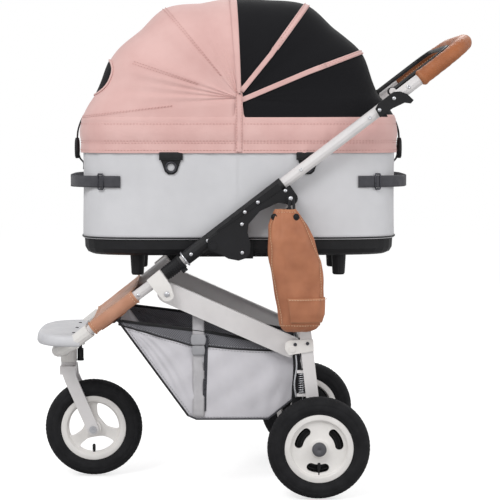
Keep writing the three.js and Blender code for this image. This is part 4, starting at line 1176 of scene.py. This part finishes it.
zipPath = [np.array((x, bagY(x, z, -1) - 0.0012, z)) for x,
    z in zip(np.linspace(-0.1035, -0.1085, 30), np.linspace(0.334, 0.17, 30))]
zipTape = strap("basketZipTape", zipPath, 0.0085, 0.0008, (1, 0, 0), webGrey)
toothUnit = unitShape("zipTooth", [(0.0001, -0.0006), (0.0016, -0.0005), (0.0016, 0.0005), (0.0006, 0.001)], 6)
zipTeeth = seam("basketZipTeeth", [zipPath], lambda p, i: (0, -1, 0), darkSteel, "link_bars", 0.0032, 0.0006,
    toothUnit)
zipPull = strap("basketZipPull", [zipPath[1] + np.array((0.001, -0.003, -0.022 * f)) for f in np.linspace(0, 1, 8)],
    0.006, 0.0014, (1, 0, 0), darkSteel)
bagSeams = []
for off in (-0.0045, 0.0045):
    bagSeams.append([(x, bagY(x, bagHeight("net", x) + off, -1) - 0.0006, bagHeight("net", x) + off)
        for x in np.linspace(-0.27, 0.09, 120)])
bagSeams.append([(x + 0.005, bagY(x + 0.005, z + 0.004, -1) - 0.0006, z + 0.004) for x, z in bagPath])
bagStitches = seam("basketStitches", bagSeams, lambda p, i: (0, -1, 0), threadGrey, "link_bars", 0.0066)
for piece in (bag, bagEdging, bagStraps, zipTape, zipTeeth, zipPull, bagStitches):
    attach(piece, "link_bars")
    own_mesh(piece)
declareSheet(bag)
print("stage: basket")


# Pouch

pouch = {"rows": [(0.350, 0.062, 0.112, 0.008), (0.356, 0.055, 0.127, 0.0145), (0.366, 0.050, 0.136, 0.0185),
    (0.390, 0.046, 0.1425, 0.0215), (0.440, 0.036, 0.141, 0.023),
                  (0.500, 0.028, 0.138, 0.024), (0.545, 0.0245, 0.122, 0.0225), (0.575, 0.026, 0.107, 0.018),
                      (0.595, 0.034, 0.094, 0.0145), (0.608, 0.040, 0.084, 0.012)],
         "back": -0.2084, "power": 2.7, "gathers": 13}


def pouchPoint(z, a, out=0.0):
    rows = pouch["rows"]
    zs = [r[0] for r in rows]
    x0, x1, half = (float(np.interp(z, zs, [r[k] for r in rows])) for k in (1, 2, 3))
    c, s = math.cos(a), math.sin(a)
    e = 2 / pouch["power"]
    semi = (x1 - x0) / 2
    upper = max(0, (z - 0.555) / 0.053)
    pleat = upper * 0.0013 * math.sin(pouch["gathers"] * a)
    fold = 0.0018 * math.sin(a * 3 + z * 46) * math.sin(math.pi * (z - 0.35) / 0.26) + 0.0008 * math.sin(a * 7 - z
        * 88)
    facet = -0.0019 * abs(math.sin(4 * a + 0.3)) ** 3
    grow = out + pleat + fold + facet - 0.0006
    y = pouch["back"] - half + (half + grow) * math.copysign(abs(s) ** e, s)
    return np.array(((x0 + x1) / 2 + (semi + grow) * math.copysign(abs(c) ** e, c), min(y, pouch["back"] + 0.0002),
        z))


pouchRows = [[pouchPoint(z, j / 120 * math.tau) for j in range(120)]
    for z in np.concatenate([np.linspace(0.3505, 0.366, 6), np.linspace(0.372, 0.6075, 52)])]
floorCentre = np.mean(pouchRows[0], axis=0)
pouchRows = [[floorCentre + (p - floorCentre) * f for p in pouchRows[0]] for f in (0.02, 0.35, 0.7)] + pouchRows
pouchShell = thicken(outward(gridSheet("pouchShell", pouchRows, pouchLeather, closed=True), (0.09, -0.229, 0.47)),
    0.002)
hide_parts("pouch")
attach(pouchShell, "hung_pouch")
# side pocket laid over the body
pocketRows = [[pouchPoint(z, a, 0.0028) for a in np.linspace(-0.62 * math.pi, 0.10 * math.pi, 60)]
    for z in np.linspace(0.372, 0.424, 16)]
pouchPocket = thicken(outward(gridSheet("pouchPocket", pocketRows, pouchLeather), (0.09, -0.229, 0.47)), 0.0022)
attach(pouchPocket, "hung_pouch")
pouchLines = [[pouchPoint(z, -0.5 * math.pi + k, 0.001) for z in np.linspace(0.37, 0.595, 60)]
    for k in (-1.02, 1.05)]
pouchLines.append([pouchPoint(0.421, a, 0.0052) for a in np.linspace(-0.6 * math.pi, 0.08 * math.pi, 60)])
pouchLines.append([pouchPoint(0.602, j / 90 * math.tau, 0.0006) for j in range(91)])
pouchLines.append([pouchPoint(0.366, -j / 60 * math.pi, 0.0006) for j in range(61)])
seam("pouchStitches", pouchLines, lambda p, i: (p[0] - 0.09, (p[1] + 0.229) * 4, 0), thread, "hung_pouch", 0.0056)
eyelets = []
for k, a in enumerate((-2.45, -1.0)):
    spot = Vector(pouchPoint(0.592, a, 0.0012))
    ring = [spot + Vector((0.0050 * math.cos(b), 0.0, 0.0058 * math.sin(b)))
        for b in [j / 20 * math.tau for j in range(20)]]
    eyelets.append(tubeAlong("eyelet", ring, 0.0016, nylonBlack, 8, True))
    # a black disc filling the eyelet's opening: painted shade for the dark inside of the pouch seen through the
    # hole
    paintedHoleShade = unitShape("eyeletHole", [(0.0005, 0.0008), (0.0052, 0.0008), (0.0052, 0.0001), (0.0005, 0.0001)], 16)
    paintedHoleShade.data.materials.append(nylonBlack)
    for v in paintedHoleShade.data.vertices:
        v.co = spot + Vector((v.co.x, -v.co.z, v.co.y))
    scene.collection.objects.link(paintedHoleShade)
    eyelets.append(mendNormals(paintedHoleShade))
pouchEyelets = joined("pouchEyelets", eyelets)
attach(pouchEyelets, "hung_pouch")
lacePath = smoothPath([(0.0705, -0.2225, 0.590), (0.0700, -0.2155, 0.606), (0.0715, -0.2115, 0.622),
    (0.0750, -0.2105, 0.631), (0.0790, -0.2115, 0.622), (0.0800, -0.2155, 0.606), (0.0790, -0.2225, 0.590)], 60)
lace = tubeAlong("pouchLace", lacePath, 0.0032, webBlack, 10)
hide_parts("pouch_strap")
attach(lace, "hung_pouch")
tailPath = smoothPath([(0.068, -0.2185, 0.612), (0.074, -0.2215, 0.598), (0.0785, -0.2245, 0.578),
    (0.0805, -0.2262, 0.560)], 24)
laceTail = strap("pouchLaceTail", tailPath, 0.010, 0.0022, (1, 0, 0), webBlack)
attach(laceTail, "hung_pouch")
knotPath = []
for i in range(150):
    a = i / 149 * math.tau * 3.5
    knotPath.append((0.0755 + 0.0062 * math.cos(a) + 0.0022 * math.sin(2.3 * a),
        -0.2275 - 0.0042 * math.sin(a * 1.5 + 0.6), 0.580 + 0.0120 * math.sin(a) + 0.0055 * math.cos(a * 1.7)))
knot = tubeAlong("pouchKnot", knotPath, 0.0034, webBlack, 8)
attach(knot, "hung_pouch")
print("stage: pouch")


# Leather wrap over the lower tubes

wrap = {"top": -199.0, "end": -314.0, "radius": 14.0, "sagTop": 4.5, "sagUnder": 7.5}


def lowerY(s):
    return 186.0 - 0.25 * max(0.0, -150.0 - s)


def wrapPoint(s, u, out=0.0):
    # u runs once round the flat sleeve: top from left to right, round the right tube, back underneath
    half = lowerY(s)
    r = wrap["radius"] + out
    flat = 2 * half
    curve = math.pi * r
    total = 2 * flat + 2 * curve
    d = (u % 1.0) * total
    crease = 0.55 * math.sin(s * 0.09 + d * 0.021) + 0.35 * math.sin(s * 0.21 - d * 0.033)
    if d < flat:
        y = -half + d
        f = math.sin(math.pi * d / flat) ** 0.55
        return onLine(s, r - wrap["sagTop"] * f + crease * f, y)
    d -= flat
    if d < curve:
        a = d / r
        return onLine(s, r * math.cos(a), half + r * math.sin(a))
    d -= curve
    if d < flat:
        y = half - d
        f = math.sin(math.pi * d / flat) ** 0.55
        return onLine(s, -r + wrap["sagUnder"] * f + crease * f, y)
    a = (d - flat) / r
    return onLine(s, -r * math.cos(a), -half - r * math.sin(a))


wrapRows = [[wrapPoint(s, j / 220) for j in range(220)] for s in np.linspace(wrap["top"], wrap["end"], 34)]
calfWrap = thicken(outward(gridSheet("calfWrap", wrapRows, wrapLeather, closed=True), onLine(-256, 0, 0)), 0.0022)
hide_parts("calf_panel")
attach(calfWrap, "front_frame")
wrapHems = [tubeAlong("wrapHem", [wrapPoint(s, j / 220, 0.0) for j in range(220)], 0.0019, wrapLeather, 8, True)
    for s in (wrap["top"], wrap["end"])]
wrapHem = joined("calfWrapHem", wrapHems)
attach(wrapHem, "front_frame")
wrapLines = [[wrapPoint(s, j / 300, 0.35) for j in range(301)] for s in (wrap["top"] - 5, wrap["end"] + 5)]
for u in (0.004, 0.462):
    wrapLines.append([wrapPoint(s, u, 0.35) for s in np.linspace(wrap["top"] - 5, wrap["end"] + 5, 60)])


def wrapNormal(p, i):
    s = ((p[0] * 1000 - line["x"]) * math.cos(line["tilt"]) + (p[2] * 1000 - line["z"]) * math.sin(line["tilt"]))
    core = onLine(s, 0, max(-lowerY(s), min(lowerY(s), p[1] * 1000)))
    return tuple(Vector(p) - core)


seam("calfWrapStitches", wrapLines, wrapNormal, thread, "front_frame", 0.0068, 0.0002)
# two straps with roller buckles under the wrap
tabs = []
for side in (-1, 1):
    path = [onLine(s, -wrap["radius"] - 1.4 - 1.2 * math.sin(math.pi * (s + 300) / 64), side * (lowerY(s) - 22))
        for s in np.linspace(-300, -236, 16)]
    tabs.append(strap("wrapTab", path, 0.018, 0.0022, (0, 1, 0), wrapLeather))
    centre = onLine(-262, -wrap["radius"] - 4.0, side * (lowerY(-262) - 22))
    c, t = math.cos(line["tilt"]), math.sin(line["tilt"])
    ring = [centre + Vector((c * a * 0.009, b * 0.013, t * a * 0.009)) for a,
        b in ((-1, -0.9), (-0.9, -1), (0.9, -1), (1, -0.9), (1, 0.9), (0.9, 1), (-0.9, 1), (-1, 0.9))]
    tabs.append(tubeAlong("wrapBuckle", ring, 0.0016, darkSteel, 8, True))
wrapTabs = joined("calfWrapTabs", tabs)
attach(wrapTabs, "front_frame")
print("stage: leather wrap")


# Leather grip on the push bar

grip = {"from": 552.0, "reach": 685.3, "half": 200.0, "corner": 96.0, "radius": 17.0}


def gripPath(count=120):
    pts = [onLine(s, 0, -grip["half"]) for s in np.linspace(grip["from"], grip["reach"] - grip["corner"], 8)]
    for i in range(1, 17):
        a = i / 16 * math.pi / 2
        pts.append(onLine(grip["reach"] - grip["corner"] + math.sin(a) * grip["corner"], 0,
            -(grip["half"] - grip["corner"] + math.cos(a) * grip["corner"])))
    back = [Vector((p.x, -p.y, p.z)) for p in reversed(pts)]
    full = pts + [pts[-1].lerp(back[0], f) for f in (0.15, 0.3, 0.45, 0.6, 0.75, 0.9)] + back
    run = [0.0]
    for a, b in zip(full, full[1:]):
        run.append(run[-1] + (b - a).length)
    out = []
    for d in np.linspace(0, run[-1], count):
        i = min(max(int(np.searchsorted(run, d)) - 1, 0), len(full) - 2)
        f = (d - run[i]) / max(run[i + 1] - run[i], 1e-9)
        out.append(full[i].lerp(full[i + 1], f))
    return out


path = gripPath(200)
radii = []
for i in range(200):
    edge = min(i, 199 - i)
    lip = 0.0011 * math.exp(-((edge - 2.5) / 1.6) ** 2)
    radii.append((0.0134 if edge == 0 else 0.0158 if edge == 1 else 0.0165) + lip + 0.00035 * math.sin(i * 0.9)
        * math.sin(i * 0.31))
gripWrap = tubeAlong("gripWrap", path, radii, gripLeather, 28)
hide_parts("handle_grip")
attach(gripWrap, "chassis")


def offLine(v, path):
    # the grip's path moved inward in the handle's own plane, where the hide is laced closed
    out = []
    for i in range(2, len(path) - 2):
        along = (path[i + 1] - path[i - 1]).normalized()
        up = Vector((-math.sin(line["tilt"]), 0, math.cos(line["tilt"])))
        inward = along.cross(up).normalized()
        if inward.dot(onLine(560, 0, 0) - path[i]) < 0:
            inward = -inward
        out.append(path[i] + (inward * math.cos(v) + up * math.sin(v)) * 0.0169)
    return out


gripSeams = [offLine(v, path) for v in (0.12, -0.12)]


def gripNormal(p, i):
    near = min(path, key=lambda q: (q - Vector(p)).length_squared)
    return tuple(Vector(p) - near)


seam("gripStitches", gripSeams, gripNormal, thread, "chassis", 0.0068, 0.0001)
print("stage: grip")


# Rivets, screws and small fittings

rivetUnit = unitShape("rivetHead", [(0.0039, -0.0006), (0.0041, 0.0004), (0.0037, 0.0013), (0.0026, 0.002),
    (0.0012, 0.0023)], 14)
screwUnit = unitShape("screwHead", [(0.0036, -0.0006), (0.0038, 0.0009), (0.0034, 0.0014), (0.0016, 0.0014),
    (0.0013, 0.0004)], 14)


def sideSpots(spots):
    # the same spots on both sides: position, normal and tangent
    places, ups, alongs = [], [], []
    for x, z, y in spots:
        for side in (-1, 1):
            places.append((x / 1000, side * y / 1000, z / 1000))
            ups.append((0, side, 0))
            alongs.append((1, 0, 0))
    return places, ups, alongs


plateSpots = [(5.1, 620.9, 205.5), (-22.1, 600.4, 205.5), (-28.2, 575.1, 205.5), (-27.5, 515.5, 205.5),
    (62.5, 645.0, 205.5), (-99.5, 540.5, 202.4)]
repeated("housingRivets", *sideSpots(plateSpots), rivetUnit, zincSteel, "chassis")
repeated("leverRivetsLeft", [(0.2569, -0.2176, 0.8129), (0.2869, -0.2176, 0.8369)], [(0, -1, 0)] * 2,
    [(1, 0, 0)] * 2, rivetUnit, zincSteel, "left_lever")
repeated("leverRivetsRight", [(0.2569, 0.2176, 0.8129), (0.2869, 0.2176, 0.8369)], [(0, 1, 0)] * 2, [(1, 0, 0)] * 2,
    rivetUnit, zincSteel, "right_lever")
tubeSpots = [(95.2, 688.8, 199.4), (236.7, 797.0, 211.9), (317.7, 860.7, 212.0)]
repeated("tubeScrews", *sideSpots(tubeSpots), screwUnit, zincSteel, "chassis")
lowSpots = [(-134.8, 512.0, 200.8), (-246.2, 424.3, 186.9)]
repeated("socketRivets", *sideSpots(lowSpots), rivetUnit, zincSteel, "front_frame")
repeated("bracketScrews", *sideSpots([(84.0, 320.5, 198.9), (110.0, 322.5, 198.9)]), screwUnit, darkSteel,
    "rear_legs")
repeated("legPinRivets", *sideSpots([(73.5, 629.0, 211.2)]), rivetUnit, zincSteel, "rear_legs", 1.3)
repeated("linkScrews", *sideSpots([(-185.5, 428.0, 201.0)]), rivetUnit, zincSteel, "front_frame", 1.5)


# One shallow tread block
def blockUnit(long, wide, high):
    shape = bpy.data.meshes.new("treadBlock")
    a, b = long / 2, wide / 2
    pts = [(-a, -b, -high), (a, -b, -high), (a, b, -high), (-a, b, -high), (-a * 0.8, -b * 0.8, 0),
        (a * 0.8, -b * 0.8, 0), (a * 0.8, b * 0.8, 0), (-a * 0.8, b * 0.8, 0)]
    shape.from_pydata(pts, [], [(3, 2, 1, 0), (4, 5, 6, 7), (0, 1, 5, 4), (1, 2, 6, 5), (2, 3, 7, 6), (3, 0, 4, 7)])
    return bpy.data.objects.new("treadBlock", shape)


# Wheels: turned tyres with shoulder lugs, dished rims and their openings, and the brake drums behind the rear ones
def turned(name, centre, profile, finish, count=96, lugs=0):
    # profile is (radius, offset along Y) pairs in millimetres, closed round
    rows = []
    for r, y in profile:
        row = []
        for j in range(count):
            a = j / count * math.tau
            shoulder = math.exp(-((r - 103.0) / 3.2) ** 2)
            lug = 0.9 * shoulder * (1 if (j * lugs // count) % 2 else 0) if lugs else 0
            row.append(((centre[0] + math.cos(a) * (r - lug)) / 1000,
                (centre[1] + y - math.copysign(lug * 0.5, y)) / 1000, (centre[2] + math.sin(a) * (r - lug)) / 1000))
        rows.append(row)
    faces = []
    total = len(rows)
    for i in range(total):
        for j in range(count):
            k = (j + 1) % count
            n = (i + 1) % total
            faces.append((i * count + j, i * count + k, n * count + k, n * count + j))
    piece = mendNormals(meshObject(name, [p for row in rows for p in row], faces, finish))
    return piece


def opened(piece, outlines, centre, depth=60.0):
    # cuts openings, given as (x, z) outlines in millimetres about the wheel's centre, right through the piece
    points, faces = [], []
    for outline in outlines:
        first, count = len(points), len(outline)
        for y in (-depth, depth):
            points += [((centre[0] + x) / 1000, (centre[1] + y) / 1000, (centre[2] + z) / 1000) for x, z in outline]
        faces += [(first + i, first + (i + 1) % count, first + count + (i + 1) % count, first + count + i)
            for i in range(count)]
        faces += [tuple(first + i for i in range(count))[::-1], tuple(first + count + i for i in range(count))]
    tool = mendNormals(meshObject("tool", points, faces, piece.data.materials[0]))
    cut = piece.modifiers.new("openings", "BOOLEAN")
    cut.operation = "DIFFERENCE"
    cut.solver = "EXACT"
    cut.object = tool
    bpy.context.view_layer.update()
    applied(piece)
    bpy.data.objects.remove(tool)
    soft = piece.modifiers.new("edges", "BEVEL")
    soft.width = 0.0009
    soft.segments = 2
    soft.limit_method = "ANGLE"
    soft.angle_limit = math.radians(38)
    applied(piece)
    piece.data.materials.clear()
    piece.data.materials.append(nylonWhite)
    piece.data.shade_smooth()
    flat = piece.modifiers.new("split", "EDGE_SPLIT")
    flat.split_angle = math.radians(32)
    return applied(piece)


def polar(r, degrees):
    return (r * math.cos(math.radians(degrees)), r * math.sin(math.radians(degrees)))


def rounded(points, times=3):
    # corner cutting, which leaves a smooth closed outline
    for _ in range(times):
        points = [tuple(a[k] * f + b[k] * (1 - f) for k in (0, 1)) for a,
            b in zip(points, points[1:] + points[:1]) for f in (0.75, 0.25)]
    return points


wheel = {"tyre": [(72.3, -15.5), (73.4, -17.2), (77.5, -19.0), (79.4, -19.4), (80.2, -20.6), (85.5, -21.6),
    (91.5, -21.6), (92.4, -20.9), (93.3, -21.3), (98.0, -19.9), (101.5, -17.2),
                  (103.8, -14.6), (105.4, -11.6), (106.6, -8.0), (107.5, -4.0), (107.6, 0.0)],
         "slots": (148, 27, 267), "spokes": (97, 218, 340), "lugs": 144}
crown = wheel["tyre"] + [(r, -y) for r, y in wheel["tyre"][-2::-1]]
tread = {"rows": [(-0.5, 0.0), (-0.17, 0.5), (0.17, 0.0), (0.5, 0.5)], "count": 72}
treadUnit = blockUnit(0.0058, 0.0052, 0.0016)
for word, centre, body in (("front", (-356, 0, 108), "front_wheel"), ("leftRear", (132, -236, 108), "left_wheel"),
    ("rightRear", (132, 236, 108), "right_wheel")):
    tyre = turned(word + "Tyre", centre, crown, tyreRubber, 288, wheel["lugs"])
    node = {"front": "front", "leftRear": "left_rear", "rightRear": "right_rear"}[word]
    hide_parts(node + "_tyre")
    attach(tyre, body)
    places, ups, alongs = [], [], []
    for across, shift in tread["rows"]:
        lean = across * math.radians(62)
        for k in range(tread["count"]):
            a = (k + shift) / tread["count"] * math.tau
            r = 0.0868 + 0.0212 * math.cos(lean)
            ups.append((math.cos(a) * math.cos(lean), math.sin(lean), math.sin(a) * math.cos(lean)))
            places.append((centre[0] / 1000 + r * math.cos(a), centre[1] / 1000 + 0.0212 * math.sin(lean),
                centre[2] / 1000 + r * math.sin(a)))
            alongs.append((-math.sin(a), 0, math.cos(a)))
    repeated(word + "Tread", places, ups, alongs, treadUnit, tyreRubber, body)
    if word == "front":
        rim = turned("frontRim", centre, [(72, -15.5), (71, -16), (61, -16), (60, -15.5), (57.5, -9), (56, -7.5),
            (48, -6.5), (30, -7), (19, -9), (17, -12), (17, -24), (5.3, -24),
                                          (5.3, 24), (17, 24), (17, 12), (19, 9), (30, 7), (48, 6.5), (56, 7.5),
                                              (57.5, 9), (60, 15.5), (61, 16), (71, 16), (72, 15.5)], nylonWhite)
        windows = []
        for a, b in zip(wheel["spokes"], wheel["spokes"][1:] + (wheel["spokes"][0] + 360,)):
            side = lambda r, w, angle: tuple(u + v for u, v in zip(polar(r, angle), polar(w, angle + 90)))
            near = [side(r, w, a) for r, w in ((23, 11.6), (32, 11.2), (42, 11.6), (50, 13.6))]
            far = [side(r, -w, b) for r, w in ((50, 13.6), (42, 11.6), (32, 11.2), (23, 11.6))]
            arc = [polar(56.2, a + 17.5 + (b - a - 35) * i / 7) for i in range(8)]
            windows.append(rounded(near + arc + far, 2))
        rim = opened(rim, windows, centre)
    else:
        out = -1 if centre[1] < 0 else 1
        shape = [(72, 15.5), (71, 16), (61.5, 16), (60, 15), (58, 9.6), (56.5, 8.8), (40, 9.8), (22, 11.6),
            (19, 13.5), (17.5, 19), (16.5, 20), (6.4, 20), (6.4, -20), (16, -20), (17.5, 4), (54, 2.4), (58, 0),
                 (60, -15.5), (61, -16), (71, -16), (72, -15.5)]
        rim = turned(word + "Rim", centre, [(r, y * out) for r, y in shape], nylonWhite)
        slots = []
        for at in wheel["slots"]:
            outline = [polar(52, at - 20 + i * 5) for i in range(9)]
            cap = lambda angle, turn: [tuple(u + v for u, v in zip(polar(43, angle),
                polar(9, angle + turn + i * 22.5))) for i in range(1, 8)]
            outline += cap(at + 20, 0) + [polar(34, at + 20 - i * 5) for i in range(9)] + cap(at - 20, 180)
            slots.append(outline)
        rim = opened(rim, slots, centre)
        drum = turned(word + "Drum", centre, [(r, y * out) for r,
            y in ((56, 1.5), (56, -9), (53, -11), (24, -11), (19, -8), (19, 1.5))], drumNylon)
        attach(drum, body)
        ribs4 = [tubeAlong("drumRib", [(centre[0] / 1000 + r * math.cos(a) / 1000, (centre[1] + out * 2.2) / 1000,
            centre[2] / 1000 + r * math.sin(a) / 1000) for a in [j / 72 * math.tau for j in range(72)]], 0.0011,
            nylonBlack, 6, True) for r in (30, 38, 46)]
        drumRibs = joined(word + "DrumRibs", ribs4)
        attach(drumRibs, body)
        cap = turned(word + "Cap", (centre[0], centre[1] + out * 20.3, centre[2]),
            [(r, y * out) for r, y in ((15.0, 0.2), (15.0, 3.0), (14.2, 4.4), (12.2, 5.4), (8.5, 6.1), (0.3, 6.4),
            (0.3, 0.2))], gripNylon, 48)
        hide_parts(node + "_cap")
        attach(cap, body)
    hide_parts(node + "_rim")
    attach(rim, body)


# Valve stems with their caps
for name, base, tip, body in (("frontValve", (-0.3385, -0.0, 0.097), (-0.3475, -0.006, 0.070), "front_wheel"),
    ("leftValve", (0.132, -0.242, 0.052), (0.132, -0.246, 0.078), "left_wheel"),
    ("rightValve", (0.132, 0.242, 0.052), (0.132, 0.246, 0.078), "right_wheel")):
    if name == "frontValve":
        base, tip = (-0.356, -0.004, 0.044), (-0.356, -0.006, 0.070)
    a, b = Vector(base), Vector(tip)
    stem = tubeAlong(name, [a.lerp(b, f) for f in (0, 0.3, 0.42, 0.46, 0.9, 1.0)],
        [0.0032, 0.0028, 0.0026, 0.0036, 0.0036, 0.0024], nylonBlack, 12)
    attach(stem, body)

# Brake springs and the ends of their cables, in front of the rear legs
coil = {"x": 0.098, "low": 0.2145, "high": 0.2575, "radius": 0.0058, "wire": 0.0011, "turns": 9}
fittings = []
for side in (-1, 1):
    helix = []
    for i in range(coil["turns"] * 18 + 1):
        a = i / 18 * math.tau
        helix.append((coil["x"] + coil["radius"] * math.cos(a), side * 0.186 + coil["radius"] * math.sin(a),
            coil["low"] + (coil["high"] - coil["low"]) * i / (coil["turns"] * 18)))
    fittings.append(tubeAlong("brakeSpring", helix, coil["wire"], zincSteel, 6))
    cable = smoothPath([(0.098, side * 0.186, 0.200), (0.098, side * 0.186, 0.236), (0.0975, side * 0.186, 0.266),
        (0.092, side * 0.186, 0.29), (0.0895, side * 0.186, 0.312), (0.094, side * 0.1865, 0.333)], 40)
    fittings.append(tubeAlong("brakeWire", cable, 0.0017, nylonBlack, 8))
brakeFittings = joined("brakeFittings", fittings)
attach(brakeFittings, "rear_legs")

# Ribs on the lock sleeves, for the fingers
for word, side in (("left", -1), ("right", 1)):
    rings = []
    for k in range(7):
        s = -80.0 - k * 5.2
        centre = onLine(s, 0, side * 186.0)
        up = Vector((-math.sin(line["tilt"]), 0, math.cos(line["tilt"])))
        rings.append(tubeAlong("rib", [centre + (up * math.cos(a) + Vector((0, 1, 0)) * math.sin(a)) * 0.0147
            for a in [j / 32 * math.tau for j in range(32)]], 0.0011, nylonBlack, 6, True))
    sleeveRibs = joined(word + "SleeveRibs", rings)
    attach(sleeveRibs, word + "_sleeve")
for word, side in (("left", -1), ("right", 1)):
    rings = []
    for s, r in ((-122.0, 0.0128), (-64.5, 0.0154)):
        centre = onLine(s, 0, side * 186.0)
        up = Vector((-math.sin(line["tilt"]), 0, math.cos(line["tilt"])))
        rings.append(tubeAlong("ring", [centre + (up * math.cos(a) + Vector((0, 1, 0)) * math.sin(a)) * r
            for a in [j / 36 * math.tau for j in range(36)]], 0.0021, zincSteel if s > -100 else nylonWhite, 8,
            True))
    collar = joined(word + "Collar", rings)
    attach(collar, "front_frame")
# The foot plate: a D seen from above, hollow below, with a rolled lip
foot = {"back": -374.0, "half": 148.0, "reach": 102.0, "power": 3.0,
        "levels": [(326, 40), (326, 7.5), (309.6, 6.5), (309, 5), (309.8, 2.5), (313, 0), (320, 0.4), (327, 2.4),
            (330, 4.6), (331.6, 7.2), (332, 10), (332, 22), (331.2, 24), (331.2, 60)]}
footRows = []
for z, inset in foot["levels"]:
    row = []
    for i in range(73):
        a = (-90 + i * 2.5) / 180 * math.pi
        e = 2 / foot["power"]
        row.append(((foot["back"] - inset * 0.25 - (foot["reach"] - inset) * abs(math.cos(a)) ** e) / 1000,
            (foot["half"] - inset) * math.copysign(abs(math.sin(a)) ** e, math.sin(a)) / 1000, z / 1000))
    for i in range(1, 16):
        row.append((row[0][0], row[72][1] + (row[0][1] - row[72][1]) * i / 16, z / 1000))
    footRows.append(row)
wide = len(footRows[0])
footFaces = [(i * wide + j, i * wide + (j + 1) % wide, (i + 1) * wide + (j + 1) % wide, (i + 1) * wide + j)
    for i in range(len(footRows) - 1) for j in range(wide)]
footFaces += [tuple(range(wide))[::-1], tuple((len(footRows) - 1) * wide + j for j in range(wide))]
footPlate = mendNormals(meshObject("footPlate", [p for row in footRows for p in row], footFaces, nylonGrey))
sharp = footPlate.modifiers.new("split", "EDGE_SPLIT")
sharp.split_angle = math.radians(50)
applied(footPlate)
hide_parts("foot_plate")
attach(footPlate, "front_frame")
repeated("footScrews", [(-0.392, y, 0.3312) for y in (-0.085, 0.085)] + [(-0.392, 0, 0.3312)], [(0, 0, 1)] * 3,
    [(1, 0, 0)] * 3, screwUnit, darkSteel, "front_frame")

# Brake housings in front of the rear legs
shoe = [(79, 303), (93, 303), (95.5, 272), (104, 262), (107.5, 216), (112, 190), (93, 170), (79, 173), (77, 216),
    (81.5, 262)]
for word, side in (("left", -1), ("right", 1)):
    outline = rounded(shoe, 1)
    count = len(outline)
    points = [(x / 1000, side * y / 1000, z / 1000) for y in (176.5, 180.5) for x, z in outline]
    faces = [(i, (i + 1) % count, count + (i + 1) % count, count + i)
        for i in range(count)] + [tuple(range(count))[::-1], tuple(count + i for i in range(count))]
    housing = mendNormals(meshObject(word + "BrakeHousing", points, faces, nylonBlack, smooth=False))
    soft = housing.modifiers.new("edges", "BEVEL")
    soft.width = 0.0008
    soft.segments = 2
    soft.angle_limit = math.radians(50)
    applied(housing)
    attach(housing, "rear_legs")
    bars = [tubeAlong("brakeRod", smoothPath(rod, 24), 0.0021, zincSteel, 8)
        for rod in ([(0.0865, side * 0.1835, 0.296), (0.088, side * 0.1845, 0.27), (0.0835, side * 0.184, 0.235),
        (0.087, side * 0.1835, 0.206)], [(0.101, side * 0.1835, 0.206), (0.096, side * 0.184, 0.196),
        (0.0885, side * 0.184, 0.186)])]
    brakeBars = joined(word + "BrakeRods", bars)
    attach(brakeBars, "rear_legs")
print("stage: fittings")
